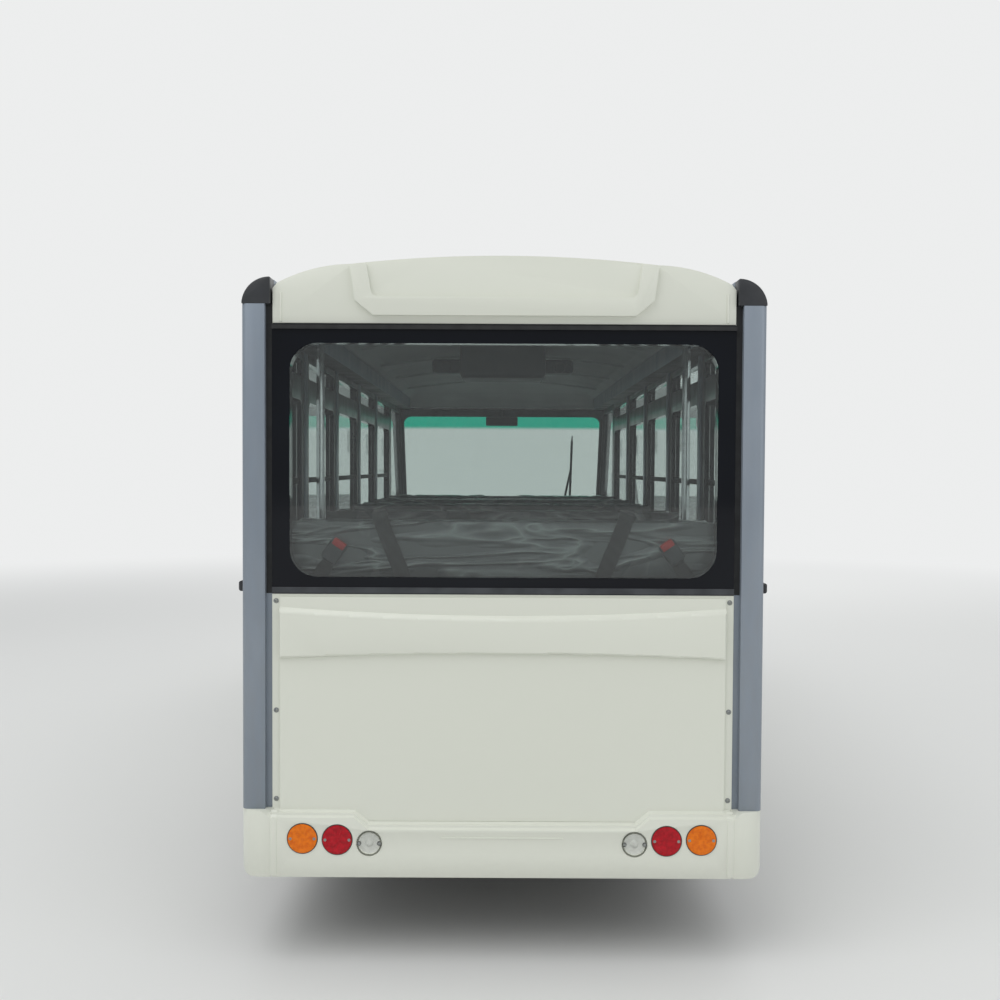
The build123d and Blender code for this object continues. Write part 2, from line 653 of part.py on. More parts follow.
def make_rear_bumper():
    """The bumper's middle and corner pieces, hollow and open to the front, with holes for the lamps."""
    deep = PANEL_LOW + 1
    outer = rear_slab(bumper_outline(), BODY_REAR, REAR_END) & extrude(Plane.XY * bumper_plan(0), amount=deep)
    inner = rear_slab(offset(bumper_outline(), -BUMPER_SKIN), BODY_REAR + 3, REAR_END)
    inner &= extrude(Plane.XY * bumper_plan(BUMPER_SKIN), amount=deep)
    shell = outer - inner
    shell -= block(-REAR_HALF, REAR_HALF, REAR_PLANE, BODY_REAR + 3, BUMPER_LOW - 1, deep)
    for _, inward, drop, radius in REAR_LAMPS:
        for side in (-1, 1):
            hole = Pos(side * (SIDE - inward), PANEL_LOW - drop) * Circle(radius - LAMP_EDGE + LAMP_FIT)
            shell -= rear_slab(hole, REAR_PLANE + 1, REAR_END - 1)
    for side in (-1, 1):
        joint = side * (SIDE - BUMPER_JOINT_IN)
        half = JOINT_GAP / 2
        shell -= block(joint - half, joint + half, REAR_END - 1, BODY_REAR + 3, BUMPER_LOW - 1, deep)
    node("rear_bumper", shell)


# Side walls


def arch_hole(axle, radius, x0, x1):
    """The round space of a wheel arch."""
    return rod_x(axle, AXLE_HIGH, radius, x0, x1)


def hinge_y(bay):
    """Where the hinge axis of a bay's door lies."""
    return BAYS[bay + 1] - POST / 2 - DOOR_GAP / 2


def hinge_barrel(bay, z0, z1):
    """A piece of hinge barrel on the hinge axis of a door."""
    return rod_z(SIDE + HINGE_OUT, hinge_y(bay), HINGE_RADIUS, z0, z1)


def post_hinge(bay, z):
    """The post's half of a hinge: two barrels on leaves, and the pin between them."""
    half = HINGE_LONG / 2
    y, edge = hinge_y(bay), hinge_y(bay) + DOOR_GAP / 2
    parts = rod_z(SIDE + HINGE_OUT, y, HINGE_PIN, z - half - 2, z + half + 2)
    near, far = half + HINGE_END_GAP, half + HINGE_KNUCKLE
    for z0, z1 in ((z - far, z - near), (z + near, z + far)):
        parts += hinge_barrel(bay, z0, z1)
        parts += block(SIDE, SIDE + HINGE_LEAF, edge, edge + HINGE_LEAF_LONG, z0, z1)
        parts += block(SIDE + 1, SIDE + HINGE_OUT, edge, y + HINGE_RADIUS, z0, z1)
    return parts


def make_side_frames(pillar):
    """Sills, door posts, corner pillars and roof rails on both sides."""
    cut = ARCH_RADIUS + ARCH_SKIN
    sill = block(SIDE - SILL_WIDTH, SIDE, BODY_REAR, NOSE_BACK, SILL_LOW, SILL_HIGH)
    sill -= arch_hole(REAR_AXLE, cut, 0, SIDE + 1)
    sill -= arch_hole(FRONT_AXLE, cut, 0, SIDE + 1)
    posts = []
    for bay, y in enumerate(POSTS):
        post = block(INNER, SIDE, y - POST / 2, y + POST / 2, SILL_HIGH, RAIL_LOW)
        post -= arch_hole(REAR_AXLE, cut, 0, SIDE + 1)
        for z in HINGE_HEIGHTS:
            post += post_hinge(bay, z)
        posts.append(post)
    solids = [sill, make_roof_rail(), pillar] + posts
    node("side_frame", *solids, *[flip(solid) for solid in solids])


def door_bounds(bay):
    """Rear and front edge of a door leaf."""
    rear = BAYS[bay] + (POST / 2 if bay else 0) + DOOR_GAP
    return rear, BAYS[bay + 1] - POST / 2 - DOOR_GAP


def door_windows(bay, grow):
    """The sketches of a door's main window and transom."""
    rear, front = door_bounds(bay)
    u0, u1 = rear + STILE - grow, front - STILE + grow
    transom = RAIL_LOW - TRANSOM_DROP
    return [
        window(u0, u1, BELT - grow, WINDOW_HIGH + grow, WINDOW_RADIUS + grow),
        window(u0, u1, transom - TRANSOM_HEIGHT - grow, transom + grow, TRANSOM_RADIUS + grow),
    ]


def door_hinge(bay, front, z):
    """The door's half of a hinge: a bored barrel on a leaf."""
    z0, z1 = z - HINGE_LONG / 2, z + HINGE_LONG / 2
    parts = hinge_barrel(bay, z0, z1)
    parts += block(SIDE, SIDE + HINGE_LEAF, front - HINGE_LEAF_LONG, front, z0, z1)
    parts += block(SIDE + 1, SIDE + HINGE_OUT, hinge_y(bay) - HINGE_RADIUS, front, z0, z1)
    return parts - rod_z(SIDE + HINGE_OUT, hinge_y(bay), HINGE_PIN + PIN_FIT, z0 - 1, z1 + 1)


def make_door(bay):
    """A door on the right with its windows cut, and the glass that fills them."""
    rear, front = door_bounds(bay)
    leaf = block(INNER, SIDE, rear, front, SILL_HIGH + DOOR_GAP, RAIL_LOW - DOOR_GAP)
    for axle in (REAR_AXLE, FRONT_AXLE):
        leaf -= arch_hole(axle, ARCH_RADIUS + ARCH_DOOR_GAP, 0, SIDE + 1)
    for opening in door_windows(bay, 0):
        leaf -= side_slab(opening, INNER - 1, SIDE + 1)
    for z in HINGE_HEIGHTS:
        leaf += door_hinge(bay, front, z)
    y, z = rear + HANDLE_IN, BELT - HANDLE_DROP
    handle = block(SIDE, SIDE + HANDLE_OUT, y, y + HANDLE_LONG, z - HANDLE_THICK / 2, z + HANDLE_THICK / 2)
    leaf += fillet(handle.edges().group_by(Axis.X)[-1], HANDLE_EDGE)
    middle = SIDE - WALL / 2
    panes = []
    for pane in door_windows(bay, -GLASS_FIT):
        panes.append(side_slab(pane, middle - GLASS / 2, middle + GLASS / 2))
    return leaf, panes


def make_doors():
    """The doors on both sides, numbered from the front."""
    for bay in range(ROWS):
        number = ROWS - bay
        leaf, panes = make_door(bay)
        node(f"door_right_{number}", leaf)
        node(f"door_glass_right_{number}", *panes)
        node(f"door_left_{number}", flip(leaf))
        node(f"door_glass_left_{number}", *[flip(pane) for pane in panes])

# Front end


def front_plan(inset, front):
    """The nose seen from above: straight sides, round corners and a slightly bowed front."""
    half, back = SIDE - inset, NOSE_BACK - (1 if inset else 0)
    corner = WS_FOOT - inset
    turn, bow = half - NOSE_CORNER, front - inset - NOSE_BOW
    middle = (half - 0.26 * NOSE_CORNER, bow - 0.37 * (bow - corner))
    return make_face([
        Line((half, back), (half, corner)),
        ThreePointArc((half, corner), middle, (turn, bow)),
        ThreePointArc((turn, bow), (0, bow + NOSE_BOW), (-turn, bow)),
        ThreePointArc((-turn, bow), (-middle[0], middle[1]), (-half, corner)),
        Line((-half, corner), (-half, back)),
        Line((-half, back), (half, back)),
    ])


def front_profile(inset, low):
    """The nose seen from the side: upright at the bumper, then sloped back to the windscreen."""
    front = FRONT_END - inset
    foot, high = WS_FOOT + NOSE_SILL - inset, FRONT_BELT - inset
    middle = (front - 0.27 * (front - foot), (FRONT_BUMPER_HIGH + FRONT_BELT) / 2 + NOSE_BULGE)
    return make_face([
        Line((NOSE_BACK - 1, low), (front, low)),
        Line((front, low), (front, FRONT_BUMPER_HIGH)),
        ThreePointArc((front, FRONT_BUMPER_HIGH), middle, (foot, high)),
        Line((foot, high), (NOSE_BACK - 1, high)),
        Line((NOSE_BACK - 1, high), (NOSE_BACK - 1, low)),
    ])


def front_body(inset, low, front):
    """The nose's outer or inner form."""
    plan = extrude(Plane.XY.offset(low) * front_plan(inset, front), amount=FRONT_BELT - low + 1)
    return plan & side_slab(front_profile(inset, low), -SIDE, SIDE)


def front_lamp(inward, drop, radius, inset):
    """A round lamp in the right of the nose with a domed front."""
    face = FRONT_END - inset
    body = rear_slab(Pos(SIDE - inward, FRONT_BELT - drop) * Circle(radius), face, face - FRONT_LAMP_DEPTH)
    return fillet(body.edges().group_by(Axis.Y)[-1], radius * LAMP_DOME)


def front_lamps(name):
    """Both front lamps of one node."""
    lamps = [front_lamp(*sizes) for lamp, *sizes in FRONT_LAMPS if lamp == name]
    return lamps + [flip(lamp) for lamp in lamps]


def make_front():
    """The nose shell over the front wheels, its bumper and lamps."""
    face = FRONT_END - PANEL_IN
    over = SIDE + 1
    shell = front_body(0, SILL_LOW, face) - front_body(FRONT_SKIN, SILL_LOW - 1, face)
    shell -= block(-INNER, INNER, NOSE_BACK - 1, WS_FOOT - NOSE_RIM, SILL_LOW - 1, FRONT_BELT + 1)
    shell -= block(-over, over, FRONT_BUMPER_BACK, FRONT_END + 1, SILL_LOW - 1, FRONT_BUMPER_HIGH)
    shell -= arch_hole(FRONT_AXLE, ARCH_RADIUS + ARCH_TRIM, -over, over)
    for _, inward, drop, radius, _ in FRONT_LAMPS:
        for side in (-1, 1):
            hole = Pos(side * (SIDE - inward), FRONT_BELT - drop) * Circle(radius + LAMP_FIT)
            shell -= rear_slab(hole, FRONT_END, FRONT_END - SCREEN_BACK)
    node("front_mask", shell)
    bumper = front_body(0, BUMPER_LOW, FRONT_END) - front_body(FRONT_SKIN, BUMPER_LOW - 1, FRONT_END)
    bumper &= block(-SIDE, SIDE, FRONT_BUMPER_BACK, FRONT_END, BUMPER_LOW, FRONT_BUMPER_HIGH)
    for height in SLOT_HEIGHTS:
        slot = Pos(0, BUMPER_LOW + height) * SlotOverall(SLOT_LONG, SLOT_HIGH)
        bumper -= rear_slab(slot, FRONT_END + 1, FRONT_END - NOSE_BOW - 2 * FRONT_SKIN)
    node("front_bumper", bumper)


def screen_plane(depth):
    """The windscreen's plane, moved inwards by depth. Its y runs up the glass."""
    up = Vector(0, WS_TOP - WS_FOOT, NOSE_LOW - FRONT_BELT).normalized()
    out = Vector(1, 0, 0).cross(up) * -1
    origin = Vector(0, WS_FOOT, FRONT_BELT) - out * depth
    return Plane(origin=origin, x_dir=(-1, 0, 0), z_dir=out)


def screen_outline(inset):
    """The windscreen's rounded outline, made smaller all round by inset."""
    rise = math.hypot(WS_FOOT - WS_TOP, NOSE_LOW - FRONT_BELT)
    half = SIDE - SCREEN_SIDE - inset
    return window(-half, half, SCREEN_UNDER + inset, rise - SCREEN_OVER - inset, SCREEN_RADIUS - inset)


def quarter_outline():
    """The outline of the sloped window beside the driver, seen from the side."""
    slope = (WS_FOOT - WS_TOP) / (NOSE_LOW - FRONT_BELT)
    back, low, high = NOSE_BACK + QUARTER_BACK, FRONT_BELT + QUARTER_UNDER, RAIL_LOW - QUARTER_OVER
    front = WS_FOOT - QUARTER_FRONT
    outline = polygon((back, low), (front - slope * (low - FRONT_BELT), low),
                      (front - slope * (high - FRONT_BELT), high), (back, high))
    return fillet(outline.vertices(), QUARTER_RADIUS)


def make_front_frame(rails):
    """The frame of the windscreen and the quarter windows, with the glass in it."""
    rise = math.hypot(WS_FOOT - WS_TOP, NOSE_LOW - FRONT_BELT)
    outline = Pos(0, rise / 2) * Rectangle(BODY_WIDTH, rise)
    frame = extrude(screen_plane(FRAME_SECTION) * outline, amount=FRAME_SECTION)
    slope = (WS_FOOT - WS_TOP) / (NOSE_LOW - FRONT_BELT)
    wall = polygon((NOSE_BACK, FRONT_BELT), (WS_FOOT, FRONT_BELT),
                   (WS_FOOT - slope * (RAIL_LOW - FRONT_BELT), RAIL_LOW), (NOSE_BACK, RAIL_LOW))
    side_wall = side_slab(wall, INNER, SIDE)
    frame += side_wall + flip(side_wall)
    frame -= extrude(screen_plane(FRAME_SECTION + 1) * screen_outline(0), amount=FRAME_SECTION + 2)
    frame -= side_slab(quarter_outline(), -SIDE - 1, SIDE + 1)
    frame &= block(-SIDE, SIDE, NOSE_BACK, WS_FOOT + 1, FRONT_BELT, NOSE_LOW)
    frame -= rails
    frame -= flip(rails)
    node("front_frame", frame)
    screen = extrude(screen_plane(SCREEN_GLASS_IN) * screen_outline(GLASS_FIT), amount=SCREEN_GLASS)
    middle = SIDE - WALL / 2
    quarter_glass = side_slab(offset(quarter_outline(), -GLASS_FIT), middle - GLASS / 2, middle + GLASS / 2)
    return [screen, quarter_glass, flip(quarter_glass)]


# Wheels, axles and steering


def wheel_section(points):
    """A closed section in the plane of the axle, with (distance out, radius) as its coordinates."""
    return Plane.XZ * make_face(Polyline(*points, close=True))


def make_tyre():
    """A tyre on the X axis, with upright beads, round side walls and a crowned tread."""
    bead, half, shoulder = TYRE_BEAD, TYRE_WIDTH / 2, TYRE_SHOULDER
    toe, edge = RIM_RADIUS + TYRE_TOE, TYRE_RADIUS - SHOULDER_DROP
    wall = (toe + edge) / 2
    section = make_face([
        Line((-bead, RIM_RADIUS), (bead, RIM_RADIUS)),
        Line((bead, RIM_RADIUS), (bead, toe)),
        ThreePointArc((bead, toe), (half, wall), (shoulder, edge)),
        ThreePointArc((shoulder, edge), (0, TYRE_RADIUS), (-shoulder, edge)),
        ThreePointArc((-shoulder, edge), (-half, wall), (-bead, toe)),
        Line((-bead, toe), (-bead, RIM_RADIUS)),
    ])
    return revolve(Plane.XZ * section, axis=Axis.X)


def make_rim():
    """A pressed steel wheel on the X axis, outer side to +X, with its hub and brake drum."""
    seat, bead = RIM_RADIUS - RIM_FIT, TYRE_BEAD + RIM_FIT
    lip, flange = RIM_RADIUS + RIM_LIP, TYRE_BEAD + RIM_EDGE
    inside, well, deep = RIM_RADIUS - 8, RIM_RADIUS - 16, RIM_RADIUS - 24
    rim = revolve(wheel_section([
        (-flange, lip), (-bead, lip), (-bead, seat), (-40, seat), (-30, well), (26, well), (36, seat),
        (bead, seat), (bead, lip), (flange, lip), (flange, inside), (40, inside), (30, deep), (-34, deep),
        (-44, inside), (-flange, inside),
    ]), axis=Axis.X)
    bore, drum, weld = SPINDLE_RADIUS + BEARING_FIT, PLATE_RADIUS - 2, deep + 2
    disc = revolve(wheel_section([
        (10, weld), (20, weld), (46, 112), (46, 86), (34, 66), (34, 36), (52, 30), (52, 0), (22, 0),
        (22, bore), (-48, bore), (-48, drum), (8, drum), (26, 100), (34, 100), (34, 110), (12, weld - 10),
    ]), axis=Axis.X)
    for turn in range(RIM_HOLES):
        place = Rot(360 / RIM_HOLES * turn, 0, 0) * Pos(35, RIM_HOLE_CIRCLE, 0) * Rot(0, 90, 0)
        disc -= place * Cylinder(RIM_HOLE_RADIUS, 50)
    return rim + disc


def make_wheels():
    """Four wheels, each a rim and a tyre."""
    rim, tyre = make_rim(), make_tyre()
    for end, y in (("front", FRONT_AXLE), ("rear", REAR_AXLE)):
        place = Pos(WHEEL_X, y, AXLE_HIGH)
        node(f"rim_{end}_right", place * rim)
        node(f"tyre_{end}_right", place * tyre)
        node(f"rim_{end}_left", flip(place * rim))
        node(f"tyre_{end}_left", flip(place * tyre))


def make_knuckle():
    """The right-hand steering knuckle: a yoke round the kingpin, the spindle and the steering arm."""
    x, y, z = KINGPIN, FRONT_AXLE, AXLE_HIGH
    high = YOKE_ROOM + YOKE_ARM
    root = PLATE_X - 6
    knuckle = block(PLATE_X - 12, PLATE_X, y - YOKE_RADIUS - 4, y + YOKE_RADIUS + 4, z - high, z + high)
    for z0, z1 in ((z - high, z - YOKE_ROOM), (z + YOKE_ROOM, z + high)):
        knuckle += rod_z(x, y, YOKE_RADIUS, z0, z1) + block(x, root, y - YOKE_RADIUS, y + YOKE_RADIUS, z0, z1)
    knuckle += rod_z(x, y, KINGPIN_RADIUS, z - high, z + high)
    knuckle += rod_x(y, z, SPINDLE_RADIUS, root, WHEEL_X + SPINDLE_OUT)
    knuckle += rod_x(y, z, PLATE_RADIUS, PLATE_X, PLATE_X + PLATE_THICK)
    back, low = y - ARM_LENGTH, ARM_HEIGHT
    root = YOKE_RADIUS - 6
    arm = polygon((x - root, y), (x + root, y), (x + ARM_HALF, back), (x - ARM_HALF, back))
    knuckle += extrude(Plane.XY.offset(low) * arm, amount=ARM_THICK)
    knuckle += rod_z(x, back, ARM_HALF, low, low + ARM_THICK)
    knuckle += rod_z(x, back, BALL_RADIUS, low - BALL_LONG, low)
    return knuckle


def make_tie_rod():
    """The rod between both steering arms, with an eye on each ball pin."""
    y, z = FRONT_AXLE - ARM_LENGTH, ARM_HEIGHT - TIE_ROD_DROP
    reach = KINGPIN - TIE_EYE + 3
    rod = rod_x(y, z, TIE_ROD_RADIUS, -reach, reach)
    z0, z1 = z - TIE_EYE_THICK / 2, z + TIE_EYE_THICK / 2
    for x in (-KINGPIN, KINGPIN):
        rod += rod_z(x, y, TIE_EYE, z0, z1) - rod_z(x, y, BALL_RADIUS + BALL_FIT, z0 - 1, z1 + 1)
    return rod


def make_axles():
    """The front beam with its kingpin eyes, and the rear axle with its gear case and motor."""
    z = AXLE_HIGH
    y0, y1 = FRONT_AXLE - BEAM_HALF, FRONT_AXLE + BEAM_HALF
    reach, web = KINGPIN - 10, KINGPIN - BEAM_END
    beam = block(-reach, reach, y0, y1, z - BEAM_HALF, z + BEAM_HALF)
    room = BEAM_HALF - BEAM_FLANGE
    for near, far in ((y0 - 1, FRONT_AXLE - BEAM_WEB), (FRONT_AXLE + BEAM_WEB, y1 + 1)):
        beam -= block(-web, web, near, far, z - room, z + room)
    boss = YOKE_ROOM - BOSS_GAP
    for side in (-1, 1):
        x = side * KINGPIN
        beam += rod_z(x, FRONT_AXLE, YOKE_RADIUS - 3, z - boss, z + boss)
        beam -= rod_z(x, FRONT_AXLE, KINGPIN_RADIUS + KINGPIN_FIT, z - YOKE_ROOM, z + YOKE_ROOM)
        beam += spring_pad(side, FRONT_AXLE)
    node("front_axle", beam)
    knuckle = make_knuckle()
    node("knuckle_right", knuckle)
    node("knuckle_left", flip(knuckle))
    node("tie_rod", make_tie_rod())
    reach = WHEEL_X + SPINDLE_OUT
    tube = rod_x(REAR_AXLE, z, AXLE_TUBE, -PLATE_X, PLATE_X)
    tube += rod_x(REAR_AXLE, z, *GEAR_CASE)
    tube += rod_x(REAR_AXLE, z, SPINDLE_RADIUS, -reach, reach)
    plate = rod_x(REAR_AXLE, z, PLATE_RADIUS, PLATE_X, PLATE_X + PLATE_THICK)
    tube += plate + flip(plate)
    tube += rod_x(REAR_AXLE + MOTOR_AHEAD, z + MOTOR_RISE, *MOTOR)
    tube += block(GEAR_CASE[1], MOTOR[2], REAR_AXLE, REAR_AXLE + MOTOR_AHEAD, z - 70, z + 70)
    for side in (-1, 1):
        tube += spring_pad(side, REAR_AXLE)
    node("rear_axle", tube)


def spring_pad(side, y):
    """The seat of a leaf spring on its axle."""
    x = side * SPRING_X
    wide, long = SPRING_PAD
    return block(x - wide, x + wide, y - long, y + long, AXLE_HIGH - 10, AXLE_HIGH + SPRING_SEAT)


def spring_eye_height():
    """Height of the eyes at the springs' ends."""
    return AXLE_HIGH + SPRING_SEAT + SPRING_RISE + (len(LEAF_SHARES) - 0.5) * LEAF


def leaf_pack(y):
    """A pack of gently curved leaves over the axle at y, with eyes at both ends."""
    x0, x1 = SPRING_X - SPRING_WIDTH / 2, SPRING_X + SPRING_WIDTH / 2
    pack = None
    for index, share in enumerate(LEAF_SHARES):
        half = SPRING_HALF * share
        rise = SPRING_RISE * share ** 2
        z = AXLE_HIGH + SPRING_SEAT + LEAF * index
        leaf = make_face([
            ThreePointArc((y - half, z + rise), (y, z), (y + half, z + rise)),
            Line((y + half, z + rise), (y + half, z + rise + LEAF)),
            ThreePointArc((y + half, z + rise + LEAF), (y, z + LEAF), (y - half, z + rise + LEAF)),
            Line((y - half, z + rise + LEAF), (y - half, z + rise)),
        ])
        solid = side_slab(leaf, x0, x1)
        pack = solid if pack is None else pack + solid
    for end in (-1, 1):
        pack += rod_x(y + end * SPRING_HALF, spring_eye_height(), SPRING_EYE, x0, x1)
        pack -= rod_x(y + end * SPRING_HALF, spring_eye_height(), SPRING_PIN + PIN_FIT, x0 - 1, x1 + 1)
    return pack


def make_springs():
    """Four leaf springs, clamped to the axles."""
    springs = [leaf_pack(y) for y in (FRONT_AXLE, REAR_AXLE)]
    node("leaf_springs", *springs, *[flip(spring) for spring in springs])


def chassis_rail():
    """The right-hand chassis rail, kicked up over both axles, with its spring pins."""
    low, kick = CHASSIS_LOW, CHASSIS_LOW + KICK_UP
    line = [(BODY_REAR, low)]
    for axle in (REAR_AXLE, FRONT_AXLE):
        line += [(axle - KICK_FOOT, low), (axle - KICK_TOP, kick)]
        line += [(axle + KICK_TOP, kick), (axle + KICK_FOOT, low)]
    line.append((FRONT_END - NOSE_BEAM_BACK, low))
    upper = [(y, z + CHASSIS_HIGH) for y, z in reversed(line)]
    rail = side_slab(polygon(*line, *upper), RAIL_HALF_GAP, RAIL_OUT)
    pin_end = SPRING_X + SPRING_WIDTH / 2 + SPRING_PIN_OVER
    for axle in (REAR_AXLE, FRONT_AXLE):
        for end in (-1, 1):
            rail += rod_x(axle + end * SPRING_HALF, spring_eye_height(), SPRING_PIN, RAIL_OUT - 5, pin_end)
    return rail


def make_tow_eye():
    """The front tow eye, a bored plate on a foot under the front cross member."""
    y, z = TOW_EYE
    top = CHASSIS_LOW
    wide, long, thick = TOW_FOOT
    back = y - 30
    plate = polygon((back + 10, top - 5), (back + long - 5, top - 5), (y + 26, z - 20),
                    (y - TOW_EYE_RADIUS, z))
    eye = side_slab(plate + Pos(y, z) * Circle(TOW_EYE_RADIUS), -TOW_PLATE / 2, TOW_PLATE / 2)
    eye += block(-wide / 2, wide / 2, back, back + long, top - thick, top)
    node("tow_eye", eye - rod_x(y, z, TOW_HOLE, -TOW_PLATE, TOW_PLATE))


def make_chassis():
    """Two rails with cross members between them, outriggers to the sills and stays to the front bumper."""
    rail = chassis_rail()
    low, high = CHASSIS_LOW + CROSS_RISE, CHASSIS_LOW + CHASSIS_HIGH
    outriggers = [REAR_AXLE - CROSS_BEHIND, REAR_AXLE + CROSS_AHEAD]
    outriggers += [BAYS[bay] - back for bay, back in BAY_CROSSES]
    frame = [rail, flip(rail)]
    for y in (BODY_REAR, *outriggers, FRONT_AXLE + NOSE_CROSS):
        frame.append(block(-RAIL_HALF_GAP, RAIL_HALF_GAP, y, y + CROSS_WIDTH, low, high))
    for y in outriggers:
        outrigger = block(RAIL_OUT, SIDE - SILL_WIDTH, y, y + CROSS_WIDTH, low, high)
        frame += [outrigger, flip(outrigger)]
    back, reach = FRONT_END - NOSE_BEAM_BACK, RAIL_OUT + NOSE_BEAM_OVER
    frame.append(block(-reach, reach, back, back + NOSE_BEAM, CHASSIS_LOW, high))
    x = RAIL_OUT - BUMPER_STAY_IN - BUMPER_STAY / 2
    stay = block(x, x + BUMPER_STAY, back + NOSE_BEAM, FRONT_END, CHASSIS_LOW, CHASSIS_LOW + BUMPER_STAY)
    stay &= front_body(FRONT_SKIN, BUMPER_LOW, FRONT_END)
    node("chassis_frame", *frame, stay, flip(stay))


def make_floor():
    """The floor with a raised step over each kick-up of the rails and cut-outs for the wheel arches."""
    top, low = DECK_TOP, DECK_TOP - DECK
    side = INNER - DECK_SIDE
    deck = block(-side, side, BODY_REAR, FRONT_BUMPER_BACK - DECK_BACK, low, top)
    width = RAIL_OUT + HUMP_WALL
    inside, half = width - HUMP_SKIN, HUMP_HALF - HUMP_SKIN
    for axle, arch in ARCHES:
        deck += block(-width, width, axle - HUMP_HALF, axle + HUMP_HALF, low, top + KICK_UP)
        deck -= block(-inside, inside, axle - half, axle + half, low - 1, low + KICK_UP)
        for x0, x1 in ((-SIDE, -arch), (arch, SIDE)):
            deck -= arch_hole(axle, ARCH_RADIUS + ARCH_SKIN, x0, x1)
    node("floor_deck", deck)


def arch_liner(axle, inner, outer):
    """A half-round liner over a wheel, closed inside but for a slot that its axle passes."""
    liner = arch_hole(axle, ARCH_RADIUS + ARCH_SKIN, inner, outer)
    liner -= arch_hole(axle, ARCH_RADIUS, inner + ARCH_SKIN, outer + 1)
    slot = window(axle - AXLE_SLOT, axle + AXLE_SLOT, SLOT_LOW, AXLE_HIGH + SLOT_UP, SLOT_ROUND)
    return liner - side_slab(slot, inner - 1, inner + ARCH_SKIN + 1)


def make_arches():
    """The wheel arches: liners on all four wheels, and a flat rim round each front one."""
    rear = arch_liner(REAR_AXLE, REAR_ARCH_INNER, INNER - ARCH_SKIN)
    front = arch_liner(FRONT_AXLE, FRONT_ARCH_INNER, SIDE - 2)
    rim = arch_hole(FRONT_AXLE, ARCH_RADIUS + ARCH_TRIM, SIDE - ARCH_TRIM_THICK, SIDE)
    front += rim - arch_hole(FRONT_AXLE, ARCH_RADIUS, SIDE - ARCH_TRIM_THICK - 1, SIDE + 1)
    above = block(0, SIDE, REAR_END, FRONT_END, SILL_LOW, BELT)
    liners = [rear & above, front & above]
    node("wheel_arches", *liners, *[flip(liner) for liner in liners])


# Cabin


def seat_tilt(y):
    """The leaning frame of a seat's back: its Y runs forward from the back shell, its Z up the back."""
    return Pos(0, y, BASE_HIGH) * Rot(BACK_TILT, 0, 0)


def make_seats():
    """Seat bases with their back shells, and the cushions and backs on them."""
    frames, cushions, backs = [], [], []
    for row, y in enumerate(SEAT_ROWS):
        over_axle = y < REAR_AXLE < y + BAY_PITCH
        half = REAR_ARCH_INNER - 5 if over_axle else SEAT_HALF - SEAT_EDGE
        rear = y - BACK_SHELL - 2
        base = block(-half, half, rear, y + CUSHION_DEEP - SEAT_TOE, DECK_TOP, BASE_HIGH)
        if over_axle:
            step = RAIL_OUT + HUMP_WALL
            base -= block(-step, step, rear - 1, y + CUSHION_DEEP, DECK_TOP - 1, DECK_TOP + KICK_UP)
        tilt = seat_tilt(y)
        half = SEAT_HALF - SEAT_EDGE
        shell = tilt * block(-half, half, -BACK_SHELL, 0, 0, CUSHION + BACK_HIGH - 20)
        sole = block(-half, half, rear, y, BASE_HIGH - SEAT_SOLE, BASE_HIGH + 3)
        frames.append(base + shell + sole)
        split = SEAT_SPLIT / 2
        seats = ((-SEAT_HALF, -split), (split, SEAT_HALF)) if row == ROWS - 1 else ((-SEAT_HALF, SEAT_HALF),)
        for x0, x1 in seats:
            cushion = block(x0, x1, y, y + CUSHION_DEEP, BASE_HIGH + SOFT_GAP, BASE_HIGH + CUSHION)
            cushion = fillet(cushion.edges().group_by(Axis.Z)[-1], PAD_ROUND)
            back = block(x0, x1, SOFT_GAP, BACK_THICK, CUSHION + BACK_RISE, CUSHION + BACK_HIGH)
            backs.append(tilt * fillet(back.edges().group_by(Axis.Z)[-1], PAD_ROUND))
            cushions.append(cushion - tilt * block(-SIDE, SIDE, -BACK_HIGH, SOFT_GAP, -CUSHION, BACK_HIGH))
    node("seat_frames", *frames)
    node("seat_pads", *cushions, *backs)


def column_axis():
    """Direction of the steering column, forward and down."""
    angle = math.radians(COLUMN_ANGLE)
    return Vector(0, math.cos(angle), -math.sin(angle))


def make_dashboard():
    """The dashboard between the side walls, with the steering column and a leg down to the floor."""
    back, front = WHEEL_CENTRE[1] + DASH_AHEAD, WS_FOOT - DASH_FRONT
    low, top = FRONT_BELT - DASH_DEEP, FRONT_BELT + DASH_TOP
    turn = 0.29 * DASH_ROUND
    profile = make_face([
        Line((back, low), (back, top - DASH_ROUND)),
        ThreePointArc((back, top - DASH_ROUND), (back + turn, top - turn), (back + DASH_ROUND, top)),
        Line((back + DASH_ROUND, top), (front - 60, top - 30)),
        Line((front - 60, top - 30), (front, top - 80)),
        Line((front, top - 80), (front, low)),
        Line((front, low), (back, low)),
    ])
    dash = side_slab(profile, -INNER, INNER)
    width, high, corner = COWL
    cowl = Pos(WHEEL_CENTRE[0], FRONT_BELT + COWL_RISE) * RectangleRounded(width, high, corner)
    dash += rear_slab(cowl, back + COWL_LONG, back - COWL_OUT)
    start = Vector(*WHEEL_CENTRE) + column_axis() * COLUMN_START
    length = (back + COLUMN_IN - start.Y) / math.cos(math.radians(COLUMN_ANGLE))
    dash += extrude(Plane(origin=start, z_dir=column_axis()) * Circle(COLUMN_RADIUS), amount=length)
    half, ahead, thick = DASH_LEG
    dash += block(-half, half, back + ahead, back + ahead + thick, DECK_TOP, low)
    node("dashboard", dash)


